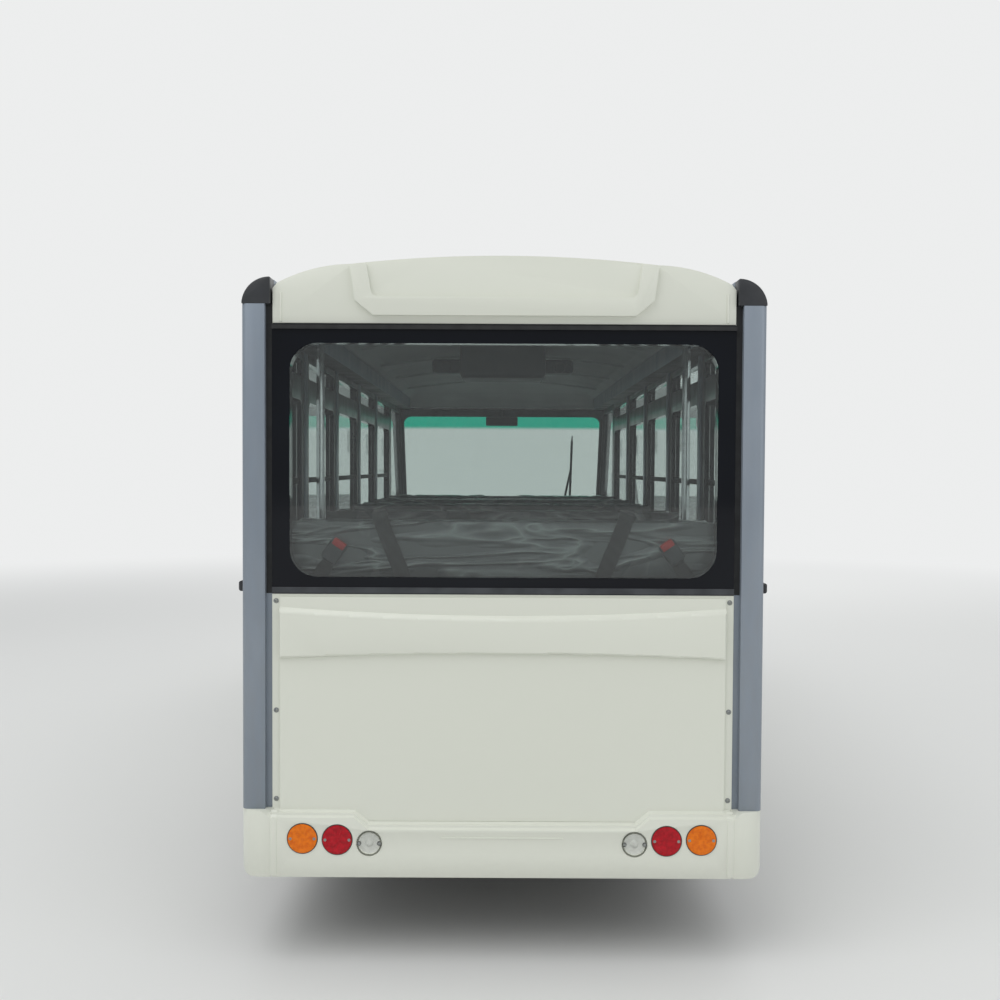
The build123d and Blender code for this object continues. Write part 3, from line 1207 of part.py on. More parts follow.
def make_steering_wheel():
    """The steering wheel: a round rim, three spokes and a hub on the column's axis."""
    wheel = Torus(STEERING_RADIUS, STEERING_RIM)
    wheel += Pos(0, 0, -12) * Cylinder(HUB_RADIUS, 44)
    for turn in (90, 210, 330):
        wheel += Rot(0, 0, turn) * block(HUB_RADIUS - 14, STEERING_RADIUS - 4, -SPOKE / 2, SPOKE / 2, -10, 0)
    shaft = COLUMN_START - BEARING_FIT
    wheel += Pos(0, 0, -shaft / 2) * Cylinder(SHAFT_RADIUS, shaft)
    node("steering_wheel", Pos(*WHEEL_CENTRE) * Rot(90 - COLUMN_ANGLE, 0, 0) * wheel)


def make_hand_rails(roof):
    """Two grab poles from the floor to the roof, and a rail on brackets behind each seat but the last."""
    x, y = SEAT_HALF - POLE_IN, SEAT_ROWS[0] + CUSHION_DEEP + POLE_RADIUS + POLE_AHEAD
    pole = rod_z(x, y, POLE_RADIUS, DECK_TOP, ROOF_CROWN) - roof
    pole = pole.solids().sort_by(Axis.Z)[0] + rod_z(x, y, POLE_FLANGE, DECK_TOP, DECK_TOP + 8)
    rails = [pole, flip(pole)]
    high = CUSHION + BACK_HIGH - RAIL_UNDER
    wide, tall = RAIL_STAY
    for y in SEAT_ROWS[1:]:
        rail = Pos(0, -RAIL_BEHIND, high) * Rot(0, 90, 0) * Cylinder(RAIL_RADIUS, 2 * RAIL_HALF)
        for x in (RAIL_STAY_IN - RAIL_HALF, 0, RAIL_HALF - RAIL_STAY_IN):
            rail += block(x - wide, x + wide, -RAIL_BEHIND, -BACK_SHELL, high - tall, high + tall)
        rails.append(seat_tilt(y) * rail)
    node("hand_rails", *rails)


def make_ceiling_unit(roof):
    """The unit under the middle of the roof."""
    width, length, hang = CEILING_UNIT
    y = BAYS[3] - CEILING_UNIT_BACK
    unit = block(-width / 2, width / 2, y - length / 2, y + length / 2, LEDGE_HIGH - hang, ROOF_CROWN)
    unit = fillet(unit.edges().group_by(Axis.Z)[0], CEILING_ROUND)
    node("ceiling_unit", (unit - roof).solids().sort_by(Axis.Z)[0])


def make_mirrors():
    """Two mirrors, each on an arm from the windscreen's corner pillar."""
    y, z = WS_FOOT - MIRROR_BACK, FRONT_BELT + MIRROR_RISE
    out, long, high = MIRROR_FOOT
    foot = block(SIDE, SIDE + out, y - long / 2, y + long / 2, z - high / 2, z + high / 2)
    arm = rod_between((SIDE + out / 2, y, z), (SIDE + MIRROR_ARM, y + 12, z + 40), MIRROR_ARM_RADIUS)
    width, depth, high = MIRROR
    head = Pos(SIDE + MIRROR_OUT + width / 2, y + 16, z + 66) * Box(width, depth, high)
    head = fillet(head.edges().filter_by(Axis.Y), 34)
    head = fillet(head.edges().group_by(Axis.Y)[-1], 14)
    mirror_arm = foot + arm + head
    return [mirror_arm, flip(mirror_arm)]


def make_wiper():
    """The windscreen's wiper, parked upright on the right."""
    plane = screen_plane(0)
    u, middle = WIPER_IN - SIDE, WIPER_MIDDLE
    pivot = extrude(plane * (Pos(u + 60, 24) * Circle(15)), amount=22)
    outline = polygon((u + 50, 24), (u + 70, 24), (u + 6, middle), (u - 6, middle))
    arm = extrude(plane.offset(12) * outline, amount=8)
    blade = extrude(plane.offset(-6) * (Pos(u, middle) * Rectangle(8, WIPER_BLADE)), amount=14)
    spine = extrude(plane.offset(6) * (Pos(u, middle) * Rectangle(16, WIPER_BLADE - 80)), amount=8)
    return pivot + arm + blade + spine


def make_battery():
    """The traction battery between the chassis rails."""
    half = RAIL_HALF_GAP - BATTERY_SIDE
    y0, y1 = BAYS[2] + BATTERY_IN, BAYS[4] - BATTERY_IN
    node("battery_pack", block(-half, half, y0, y1, BATTERY_LOW, CHASSIS_LOW + CROSS_RISE))


def build():
    """Make every piece."""
    roof = make_roof()
    make_rear_cap()
    rear_glass = make_rear_window()
    pillar = make_pillars()
    make_rear_panel()
    make_rear_bumper()
    for name in ("amber", "red", "clear"):
        lamps = [rear_lamp(*sizes) for lamp, *sizes in REAR_LAMPS if lamp == name]
        node(f"lamps_{name}", *lamps, *[flip(lamp) for lamp in lamps], *front_lamps(f"lamps_{name}"))
    make_side_frames(pillar)
    make_doors()
    make_front()
    node("fixed_windows", rear_glass, *make_front_frame(make_roof_rail()))
    make_wheels()
    make_axles()
    make_springs()
    make_chassis()
    make_tow_eye()
    make_floor()
    make_arches()
    make_seats()
    make_dashboard()
    make_steering_wheel()
    make_hand_rails(roof)
    make_ceiling_unit(roof)
    node("mirrors_and_wiper", *make_mirrors(), make_wiper())
    make_battery()


build()
os.makedirs("parts", exist_ok=True)
for name, solids in NODES.items():
    export_step(Compound(solids) if len(solids) > 1 else solids[0], f"parts/{name}.step")
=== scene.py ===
import logging
import math
from dataclasses import dataclass
from enum import Enum
from typing import Any, Callable, Sequence

import bpy
from mathutils import Matrix, Vector


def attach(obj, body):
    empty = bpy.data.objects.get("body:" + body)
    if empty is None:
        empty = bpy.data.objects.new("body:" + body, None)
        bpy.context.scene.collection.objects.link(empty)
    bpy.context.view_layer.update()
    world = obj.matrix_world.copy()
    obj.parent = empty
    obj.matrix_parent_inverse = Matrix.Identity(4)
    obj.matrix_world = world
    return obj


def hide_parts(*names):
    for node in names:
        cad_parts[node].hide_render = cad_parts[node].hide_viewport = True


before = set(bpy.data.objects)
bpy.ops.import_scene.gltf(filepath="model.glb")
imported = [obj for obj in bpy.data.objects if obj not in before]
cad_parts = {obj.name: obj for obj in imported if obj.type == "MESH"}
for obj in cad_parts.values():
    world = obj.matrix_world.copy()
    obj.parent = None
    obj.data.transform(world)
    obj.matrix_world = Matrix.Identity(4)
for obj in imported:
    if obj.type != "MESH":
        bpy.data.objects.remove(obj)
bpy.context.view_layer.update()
LOG = logging.getLogger("shuttle")
Piece = bpy.types.Object
Face = bpy.types.MeshPolygon
Tree = bpy.types.NodeTree
Socket = bpy.types.NodeSocket
Point = Sequence[float]
Test = Callable[[Face], bool]
MM = 0.001
PER_METRE = 1000
WAVE_RADIANS = 20
SIDES = (-1, 1)
MIRRORED = Matrix.Scale(-1, 4, (1, 0, 0))
FACING = (math.pi / 2, 0, 0)

# Places that several sub-assemblies share, in metres.
BAYS = (-2.5, -1.76, -1.02, -0.28, 0.46, 1.26)
SIDE = 0.750
FRONT_AXLE, REAR_AXLE = 1.670, -1.390
PAST_SIDE, PAST_INNER, PAST_REAR = 0.7505, 0.7105, -2.5455
CABIN_REAR = -2.499


# Materials


def linear(code: str) -> tuple[float, float, float, float]:
    """Turn an sRGB hex value such as E2E4D8 into a linear colour.

    Args:
        code: six hex digits.

    Returns:
        Linear red, green, blue and an alpha of 1.
    """
    parts = [int(code[i:i + 2], 16) / 255 for i in (0, 2, 4)]
    low = [value / 12.92 if value <= 0.04045 else ((value + 0.055) / 1.055) ** 2.4 for value in parts]
    return low[0], low[1], low[2], 1.0


def add(tree: Tree, kind: str, inputs: dict | None = None, **settings: Any) -> bpy.types.Node:
    """Add a shader node with its settings and what feeds its sockets.

    Args:
        tree: the material's node tree.
        kind: the node's type name without its ShaderNode prefix.
        inputs: socket name or number to a value, or to a socket that is linked to it.
        settings: attributes of the node itself.

    Returns:
        The new node.
    """
    made = tree.nodes.new("ShaderNode" + kind)
    for name, value in settings.items():
        setattr(made, name, value)
    for key, value in (inputs or {}).items():
        if isinstance(value, Socket):
            tree.links.new(value, made.inputs[key])
        else:
            made.inputs[key].default_value = value
    return made


def fresh(name: str) -> tuple[bpy.types.Material, Tree]:
    """Make a material with an empty node tree, and return both."""
    made = bpy.data.materials.new(name)
    made.use_nodes = True
    made.node_tree.nodes.clear()
    return made, made.node_tree


@dataclass(frozen=True)
class Finish:
    """An opaque surface with patches of a second shade, a grain, waviness and settled dust.

    Patch, grain and wave sizes are real sizes in millimetres. Depths are how far the bump seems to rise.
    """

    name: str
    base: str
    shade: str
    rough: tuple[float, float] = (0.4, 0.5)
    metallic: float = 0.0
    coat: float = 0.0
    coat_rough: float = 0.08
    sheen: float = 0.0
    specular: float = 0.5
    patch: float = 180.0
    grain: float = 3.0
    grain_depth: float = 0.05
    wave: float = 120.0
    wave_depth: float = 0.0
    stretch: tuple[float, float, float] = (1.0, 1.0, 1.0)
    dust: float = 0.0
    dust_top: float = 0.6

    def make(self) -> bpy.types.Material:
        """Build the node tree once and return its material."""
        if self.name in bpy.data.materials:
            return bpy.data.materials[self.name]
        made, tree = fresh(self.name)
        place = add(tree, "TexCoord").outputs["Object"]
        place = add(tree, "Mapping", {"Vector": place, "Scale": self.stretch}).outputs[0]
        shader = self.surface(tree, place)
        add(tree, "OutputMaterial", {"Surface": shader})
        return made

    def colour(self, tree: Tree, place: Socket) -> Socket:
        """The base colour: two shades in soft patches, with pale dust towards the ground."""
        patches = add(tree, "TexNoise", {"Vector": place, "Scale": PER_METRE / self.patch, "Detail": 2.0}).outputs[0]
        mask = add(tree, "MapRange", {0: patches, 1: 0.25, 2: 0.75}, interpolation_type="SMOOTHSTEP").outputs[0]
        mixed = add(tree, "Mix", {0: mask, 6: linear(self.base), 7: linear(self.shade)}, data_type="RGBA").outputs[2]
        if not self.dust:
            return mixed
        high = add(tree, "SeparateXYZ", {0: place}).outputs[2]
        low = add(tree, "MapRange", {0: high, 1: self.dust_top, 2: 0.15, 3: 0.0, 4: self.dust}).outputs[0]
        specks = add(tree, "TexNoise", {"Vector": place, "Scale": 55.0, "Detail": 6.0}).outputs[0]
        dusty = add(tree, "Math", {0: low, 1: specks}, operation="MULTIPLY").outputs[0]
        return add(tree, "Mix", {0: dusty, 6: mixed, 7: linear("8B8578")}, data_type="RGBA").outputs[2]

    def bump(self, tree: Tree, place: Socket) -> Socket:
        """The surface normal: fine grain over a slow wave."""
        grain = add(tree, "TexNoise", {"Vector": place, "Scale": PER_METRE / self.grain, "Detail": 2.0}).outputs[0]
        rise = add(tree, "Bump", {"Strength": 1.0, "Distance": self.grain_depth * MM, "Height": grain})
        if not self.wave_depth:
            return rise.outputs[0]
        wave = add(tree, "TexNoise", {"Vector": place, "Scale": PER_METRE / self.wave, "Detail": 1.0}).outputs[0]
        slow = {"Strength": 1.0, "Distance": self.wave_depth * MM, "Height": wave, "Normal": rise.outputs[0]}
        return add(tree, "Bump", slow).outputs[0]

    def roughness(self, tree: Tree, place: Socket) -> Socket | float:
        """Roughness that drifts between its two values, as wiping and weather leave it, or the one value."""
        if self.rough[0] == self.rough[1]:
            return self.rough[0]
        smears = add(tree, "TexNoise", {"Vector": place, "Scale": 1400 / self.patch, "Detail": 1.0}).outputs[0]
        return add(tree, "MapRange", {0: smears, 1: 0.2, 2: 0.8, 3: self.rough[0], 4: self.rough[1]},
                   interpolation_type="SMOOTHSTEP").outputs[0]

    def surface(self, tree: Tree, place: Socket) -> Socket:
        """The finished shader."""
        return add(tree, "BsdfPrincipled", {
            "Base Color": self.colour(tree, place), "Roughness": self.roughness(tree, place),
            "Metallic": self.metallic, "Coat Weight": self.coat, "Coat Roughness": self.coat_rough,
            "Sheen Weight": self.sheen, "Specular IOR Level": self.specular,
            "Normal": self.bump(tree, place)}).outputs[0]


@dataclass(frozen=True)
class Ribbed(Finish):
    """A surface with straight raised ribs across the vehicle's length or width."""

    pitch: float = 12.0
    axis: str = "X"
    rib_depth: float = 1.2

    def bump(self, tree: Tree, place: Socket) -> Socket:
        """The ribs over the grain."""
        under = super().bump(tree, place)
        size = PER_METRE / self.pitch / WAVE_RADIANS
        ribs = add(tree, "TexWave", {"Vector": place, "Scale": size, "Detail": 0.0},
                   bands_direction=self.axis, wave_profile="SIN").outputs[1]
        return add(tree, "Bump", {"Distance": self.rib_depth * MM, "Height": ribs, "Normal": under}).outputs[0]


@dataclass(frozen=True)
class Wrapped(Finish):
    """Seat vinyl still in its clear film: long glossy creases that run across and slacken downwards."""

    crease: float = 90.0
    crease_depth: float = 9.0

    def folds(self, tree: Tree, place: Socket) -> Socket:
        """The film's creases as a height: long ridges that run across the seat."""
        long = add(tree, "Mapping", {"Vector": place, "Scale": (0.22, 1.0, 1.25)}).outputs[0]
        slack = add(tree, "TexNoise", {"Vector": long, "Scale": PER_METRE / self.crease, "Detail": 2.0,
                                       "Roughness": 0.4, "Distortion": 0.9}).outputs[0]
        centred = add(tree, "Math", {0: slack, 1: 0.5}, operation="SUBTRACT").outputs[0]
        ridge = add(tree, "Math", {0: centred}, operation="ABSOLUTE").outputs[0]
        return add(tree, "MapRange", {0: ridge, 1: 0.09, 2: 0.0}).outputs[0]

    def colour(self, tree: Tree, place: Socket) -> Socket:
        """The vinyl's colour with a painted highlight along the film's folds: pale lines that stand for the shine on
        each crease.
        """
        under = super().colour(tree, place)
        sharp = add(tree, "Math", {0: self.folds(tree, place), 1: 3.0}, operation="POWER").outputs[0]
        # Painted highlight: the pale colour along the fold ridges stands for light catching the film's creases.
        fold_highlight = add(tree, "Math", {0: sharp, 1: 0.42}, operation="MULTIPLY").outputs[0]
        return add(tree, "Mix", {0: fold_highlight, 6: under, 7: linear("C6CCCB")}, data_type="RGBA").outputs[2]

    def bump(self, tree: Tree, place: Socket) -> Socket:
        """The film's creases over the vinyl's grain."""
        under = super().bump(tree, place)
        folds = self.folds(tree, place)
        return add(tree, "Bump", {"Distance": self.crease_depth * MM, "Strength": 0.8, "Height": folds,
                                  "Normal": under}).outputs[0]


@dataclass(frozen=True)
class Clear:
    """Clear or tinted glass or plastic, which lets lamps' light straight through."""

    name: str
    tint: str = "FFFFFF"
    rough: float = 0.0
    ior: float = 1.5
    band: str | None = None
    band_low: float = 1.66
    band_high: float = 1.70
    ripple: float = 0.0

    def make(self) -> bpy.types.Material:
        """Build the node tree once and return its material."""
        if self.name in bpy.data.materials:
            return bpy.data.materials[self.name]
        made, tree = fresh(self.name)
        place = add(tree, "TexCoord").outputs["Object"]
        body = {"Roughness": self.rough, "IOR": self.ior, "Transmission Weight": 1.0,
                "Base Color": linear(self.tint)}
        through: Any = linear(self.tint)
        if self.band:
            high = add(tree, "SeparateXYZ", {0: place}).outputs[2]
            mask = add(tree, "MapRange", {0: high, 1: self.band_low, 2: self.band_high}).outputs[0]
            mixed = {0: mask, 6: linear(self.tint), 7: linear(self.band)}
            body["Base Color"] = through = add(tree, "Mix", mixed, data_type="RGBA").outputs[2]
        if self.ripple:
            flow = add(tree, "TexNoise", {"Vector": place, "Scale": 260.0}).outputs[0]
            body["Normal"] = add(tree, "Bump", {"Distance": self.ripple * MM, "Height": flow}).outputs[0]
        solid = add(tree, "BsdfPrincipled", body).outputs[0]
        clear = add(tree, "BsdfTransparent", {0: through}).outputs[0]
        rays = add(tree, "LightPath").outputs["Is Shadow Ray"]
        add(tree, "OutputMaterial", {0: add(tree, "MixShader", {0: rays, 1: solid, 2: clear}).outputs[0]})
        return made


# Polyester gel coat on glass fibre, sprayed in a mould: a warm white, softly glossy, with slow waves.
GEL_COAT = Finish("gel_coat_moulded_glass_fibre", "E4E6DA", "E3E5D9", (0.30, 0.30), coat=0.15,
                  coat_rough=0.26, patch=700.0, grain=6.0, grain_depth=0.025, wave=260.0, wave_depth=0.3,
                  dust=0.14, dust_top=0.40)
# The doors' steel in the same white, sprayed: a little cooler and flatter than the mouldings.
DOOR_PAINT = Finish("two_pack_paint_sprayed_steel", "E0E2D8", "DFE1D7", (0.30, 0.30), coat=0.25,
                    coat_rough=0.22, patch=700.0, grain=5.0, grain_depth=0.02, wave=300.0, wave_depth=0.15,
                    dust=0.25, dust_top=0.50)
# Powder coat on extruded aluminium: silver grey with a fine flake and faint streaks along the profile.
POWDER_COAT = Finish("powder_coat_extruded_aluminium", "86919E", "919BA7", (0.34, 0.46), metallic=0.25,
                     patch=90.0, grain=1.6, grain_depth=0.03, stretch=(1.0, 1.0, 0.25), dust=0.3)
# Moulded ABS with a leathery grain: near black, its grain catching a soft broken shine.
BLACK_ABS = Finish("grained_abs_moulded", "2A2C2F", "323438", (0.38, 0.52), patch=60.0, grain=4.0,
                   grain_depth=0.12, dust=0.2)
# Ceramic ink fired on the edge of safety glass: deep blue black under a clear gloss.
FIRED_BAND = Finish("ceramic_ink_fired_on_glass", "0E1016", "12151B", (0.05, 0.10), specular=0.18, patch=300.0,
                    grain=9.0, grain_depth=0.003, wave=400.0, wave_depth=0.10)
# EPDM rubber, extruded: a dull black lip that holds pale dust.
RUBBER = Finish("epdm_rubber_extruded", "1B1C1D", "262728", (0.6, 0.75), patch=40.0, grain=1.5, grain_depth=0.08,
                dust=0.3)
# The rear window's lower strip, weathered EPDM: dark grey with a chalky bloom.
GREY_RUBBER = Finish("epdm_rubber_weathered", "2E3135", "43464A", (0.42, 0.6), patch=70.0, grain=4.0,
                     grain_depth=0.08)
# Tyre rubber, cured in a mould: charcoal with brownish bloom and road dust on the tread.
TYRE = Finish("tyre_rubber_moulded", "1D1D1E", "2B2926", (0.62, 0.82), patch=45.0, grain=2.0, grain_depth=0.15,
              dust=0.5, dust_top=0.56)
# Wheel lacquer over pressed steel: bright silver with tiny flake and brake dust in its corners.
WHEEL_SILVER = Finish("wheel_lacquer_pressed_steel", "A9ADB1", "9A9DA0", (0.3, 0.42), metallic=0.7, patch=50.0,
                      grain=1.2, grain_depth=0.02, dust=0.3, dust_top=0.5)
# Chassis black, brushed over welded steel tube: satin, uneven, with a skin of road dust.
CHASSIS_BLACK = Finish("chassis_paint_brushed_steel", "1C1D1F", "282A2B", (0.4, 0.62), patch=80.0, grain=2.5,
                       grain_depth=0.12, wave=45.0, wave_depth=0.25, dust=0.75, dust_top=0.5)
# Zinc plate on steel fastenings: cool yellowish grey metal with a cloudy passivation.
ZINC = Finish("zinc_plated_steel", "8E9296", "A3A59E", (0.3, 0.45), metallic=0.9, patch=6.0, grain=0.8,
              grain_depth=0.02)
# Polished stainless tube: bright, with fine draw lines along it.
STAINLESS = Finish("stainless_tube_polished", "C9CBCC", "BDBFC1", (0.12, 0.22), metallic=1.0, patch=30.0,
                   grain=1.0, grain_depth=0.01, stretch=(0.1, 1.0, 1.0))
# Forged steel of knuckles and axles under dark paint: dull, lightly pitted and dusty.
FORGED = Finish("forged_steel_painted", "2A2B2D", "3A3733", (0.45, 0.65), metallic=0.3, patch=35.0, grain=3.0,
                grain_depth=0.2, dust=0.6, dust_top=0.5)
# Seat vinyl on foam, sewn, in its delivery film: charcoal under glassy creases, with a painted highlight along each
# fold.
SEAT_VINYL = Wrapped("seat_vinyl_in_clear_film", "505355", "5E6162", (0.16, 0.30), coat=0.8, patch=160.0, grain=5.0,
                     grain_depth=0.04, crease_depth=14.0)
# Vacuum-formed ABS shells behind and under the seats: a flat mid grey, faintly pebbled.
SEAT_SHELL = Finish("seat_shell_formed_abs", "4A4D50", "54575A", (0.4, 0.52), patch=120.0, grain=2.4,
                    grain_depth=0.14)
# Moulded ABS of the cabin's larger fittings: soft grey with a leathery grain.
CABIN_ABS = Finish("cabin_abs_moulded", "55585B", "5F6265", (0.42, 0.56), patch=140.0, grain=2.6, grain_depth=0.16)
# Moulded ABS linings on walls and doors: darker, smoother and a little shinier.
WALL_ABS = Finish("wall_lining_moulded_abs", "45494B", "515557", (0.28, 0.42), patch=140.0, grain=5.0,
                  grain_depth=0.05)
# Felt headliner pressed over foam: pale grey, matt, fibrous.
HEADLINER = Finish("headliner_pressed_felt", "C2C6C6", "CDD0CF", (0.8, 0.92), sheen=0.3, patch=200.0, grain=6.0,
                   grain_depth=0.3)
# PVC floor covering, rolled with ribs along the vehicle: dark grey with a dull sheen on the ribs.
FLOOR_PVC = Ribbed("ribbed_pvc_rolled", "4C4F51", "565A5B", (0.45, 0.6), patch=150.0, pitch=14.0, axis="X",
                   rib_depth=1.0)
# Battery case, pressed and painted steel: dark grey panels with swages, dusty.
BATTERY_CASE = Ribbed("battery_case_pressed_steel", "3D4144", "474B4E", (0.4, 0.55), patch=120.0, pitch=60.0,
                      axis="Y", rib_depth=3.0, dust=0.6, dust_top=0.5)
# Polyester belt webbing, woven: black with a diagonal rib, drawn coarser than the real one so that it shows.
WEBBING = Ribbed("belt_webbing_woven_polyester", "17181A", "232427", (0.55, 0.7), sheen=0.2, patch=20.0, pitch=3.0,
                 axis="DIAGONAL", rib_depth=0.5)
# Release buttons and needles, moulded nylon: a clean satin red.
RED_NYLON = Finish("buckle_button_moulded_nylon", "C22418", "A81B12", (0.3, 0.4), patch=20.0, grain=1.0,
                   grain_depth=0.03)
# Silvered glass and vacuum-metallised reflectors: a bright mirror with a trace of haze.
MIRROR_COAT = Finish("reflector_vacuum_metallised", "D8DADC", "CFD1D3", (0.06, 0.12), metallic=1.0, patch=15.0,
                     grain=4.0, grain_depth=0.05)
# Reflector bowls, moulded in white nylon: they fill the clear lamps with soft light.
WHITE_BOWL = Finish("reflector_bowl_moulded_nylon", "E2E3DF", "D6D7D3", (0.25, 0.35), patch=12.0, grain=4.0,
                    grain_depth=0.05)
# Acrylic lenses dyed through and fluted: amber and red glow evenly from the bowl behind, the third is water clear.
AMBER_LENS = Ribbed("amber_acrylic_moulded", "F4800F", "DC6606", (0.10, 0.16), coat=0.1, specular=0.25,
                    patch=12.0, grain=4.0, grain_depth=0.02, pitch=6.0, rib_depth=1.1)
RED_LENS = Ribbed("red_acrylic_moulded", "C00A20", "9C0618", (0.10, 0.16), coat=0.1, specular=0.25,
                  patch=12.0, grain=4.0, grain_depth=0.02, pitch=6.0, rib_depth=1.1)
CLEAR_LENS = Clear("clear_acrylic_moulded", "FBFCFA", 0.05, 1.49, ripple=0.03)
# Toughened side glass, floated and tempered: clear, with a grey tint in its body.
SIDE_GLASS = Clear("side_glass_toughened", "C4CCCA")
# The rear window, toughened glass: clear, lightly smoked.
REAR_GLASS = Clear("rear_glass_toughened", "D2DAD8")
# Laminated windscreen: faintly green, with a teal shade band in its film.
SCREEN_GLASS = Clear("windscreen_laminated", "D8E2DE", band="1FB89A", band_low=1.700, band_high=1.722)


# Tools at the bench


def deselect() -> None:
    """Leave edit mode and select nothing."""
    if bpy.context.mode != "OBJECT":
        bpy.ops.object.mode_set(mode="OBJECT")
    bpy.ops.object.select_all(action="DESELECT")


def focus(piece: Piece) -> Piece:
    """Make a piece the only selected and active one, and return it."""
    deselect()
    piece.select_set(True)
    bpy.context.view_layer.objects.active = piece
    return piece


def settle(name: str) -> Piece:
    """Name the object just added, put its place and size into its mesh, and return it."""
    piece = bpy.context.object
    piece.name = piece.data.name = name
    bpy.ops.object.transform_apply(location=True, rotation=True, scale=True)
    return piece


def everywhere(face: Face) -> bool:
    """The test that every face passes."""
    return True


def pick(piece: Piece, test: Test = everywhere) -> None:
    """Enter edit mode with only the faces selected that pass a test.

    Args:
        piece: the mesh object to edit.
        test: says for each face whether it is selected.
    """
    focus(piece)
    bpy.context.tool_settings.mesh_select_mode = (False, False, True)
    data = piece.data
    chosen = [test(face) for face in data.polygons]
    corners = {index for face, wanted in zip(data.polygons, chosen) if wanted for index in face.vertices}
    for vertex in data.vertices:
        vertex.select = vertex.index in corners
    for edge in data.edges:
        edge.select = all(index in corners for index in edge.vertices)
    for face, wanted in zip(data.polygons, chosen):
        face.select = wanted
    bpy.ops.object.mode_set(mode="EDIT")


def modify(piece: Piece, kind: str, **settings: Any) -> Piece:
    """Give a piece a modifier with its settings, apply it, and return the piece."""
    focus(piece)
    made = piece.modifiers.new(kind.lower(), kind)
    for name, value in settings.items():
        setattr(made, name, value)
    if hasattr(made, "render_levels"):
        made.render_levels = made.levels
    bpy.ops.object.modifier_apply(modifier=made.name)
    return piece


def block(name: str, low: Point, high: Point, edge: float = 0.002, steps: int = 2) -> Piece:
    """A block between two corners with rounded edges.

    Args:
        name: the piece's name.
        low: lowest corner in metres.
        high: highest corner in metres.
        edge: radius of its edges.
        steps: faces across each rounded edge.

    Returns:
        The new piece.
    """
    deselect()
    bottom, top = Vector(low), Vector(high)
    bpy.ops.mesh.primitive_cube_add(size=1, location=(bottom + top) / 2, scale=top - bottom)
    piece = settle(name)
    pick(piece)
    bpy.ops.mesh.bevel(offset=edge, segments=steps, affect="EDGES")
    deselect()
    return piece


def rod(name: str, start: Point, end: Point, radius: float, sides: int = 20,
        edge: float = 0.0, tip: float | None = None) -> Piece:
    """A round bar between two points, with its rims bevelled.

    Args:
        name: the piece's name.
        start: centre of its first end.
        end: centre of its other end.
        radius: its radius at the start.
        sides: faces round it.
        edge: width of the bevel at its rims.
        tip: radius at its other end, when that differs.

    Returns:
        The new piece.
    """
    deselect()
    first, last = Vector(start), Vector(end)
    along = last - first
    bpy.ops.mesh.primitive_cone_add(vertices=sides, radius1=radius, radius2=radius if tip is None else tip,
                                    depth=along.length, location=(first + last) / 2,
                                    rotation=along.to_track_quat("Z", "Y").to_euler())
    piece = settle(name)
    if edge:
        modify(piece, "BEVEL", width=edge, segments=2, limit_method="ANGLE", angle_limit=math.radians(50))
    return piece


def joined(name: str, parts: Sequence[Piece]) -> Piece:
    """Join parts into one piece with a name and return it."""
    focus(parts[0])
    for part in parts:
        part.select_set(True)
    if len(parts) > 1:
        bpy.ops.object.join()
    piece = bpy.context.view_layer.objects.active
    piece.name = piece.data.name = name
    return piece


def twin(piece: Piece, name: str, move: Matrix = MIRRORED) -> Piece:
    """A copy with its own mesh, moved or mirrored.

    Args:
        piece: the piece to copy.
        name: the copy's name.
        move: how its mesh is moved; it is mirrored from right to left unless said otherwise.

    Returns:
        The copy.
    """
    copy = piece.copy()
    copy.data = piece.data.copy()
    copy.name = copy.data.name = name
    copy.parent = None
    bpy.context.scene.collection.objects.link(copy)
    copy.data.transform(move)
    if move.determinant() < 0:
        copy.data.flip_normals()
    return copy


def hand_over(piece: Piece, body: str, finish: Finish | Clear | None = None, angle: float = 35.0) -> Piece:
    """Smooth a piece, dress it and let it ride on its body.

    Args:
        piece: the finished mesh.
        body: the body that carries it.
        finish: its finish, unless it is painted already.
        angle: edges sharper than this in degrees stay crisp.

    Returns:
        The same piece.
    """
    focus(piece)
    bpy.ops.object.shade_smooth_by_angle(angle=math.radians(angle))
    if finish is not None:
        piece.data.materials.clear()
        piece.data.materials.append(finish.make())
    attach(piece, body)
    LOG.info("%s on %s", piece.name, body)
    return piece


def fit(name: str, parts: Sequence[Piece], finish: Finish | Clear, angle: float = 35.0) -> None:
    """Join parts into one piece of the vehicle's body and dress it.

    Args:
        name: the piece's name.
        parts: what it is joined from.
        finish: its finish.
        angle: edges sharper than this in degrees stay crisp.
    """
    hand_over(joined(name, parts), "body", finish, angle)


def hoop(at: Point, radius: float, thick: float, segments: int) -> Piece:
    """A round cord in a ring that faces along the vehicle.

    Args:
        at: the ring's middle.
        radius: the ring's radius.
        thick: the cord's radius.
        segments: faces round the ring.

    Returns:
        The ring.
    """
    deselect()
    bpy.ops.mesh.primitive_torus_add(location=at, rotation=FACING, major_radius=radius, minor_radius=thick,
                                     major_segments=segments, minor_segments=8)
    return settle("hoop")


def paint(piece: Piece, main: Finish | Clear, *others: tuple[Finish | Clear, Test]) -> Piece:
    """Give a piece its main finish, and others where their tests pass; the last that passes wins."""
    piece.data.materials.clear()
    piece.data.materials.append(main.make())
    for finish, _ in others:
        piece.data.materials.append(finish.make())
    for face in piece.data.polygons:
        face.material_index = 0
        for number, (_, test) in enumerate(others, 1):
            if test(face):
                face.material_index = number
    return piece


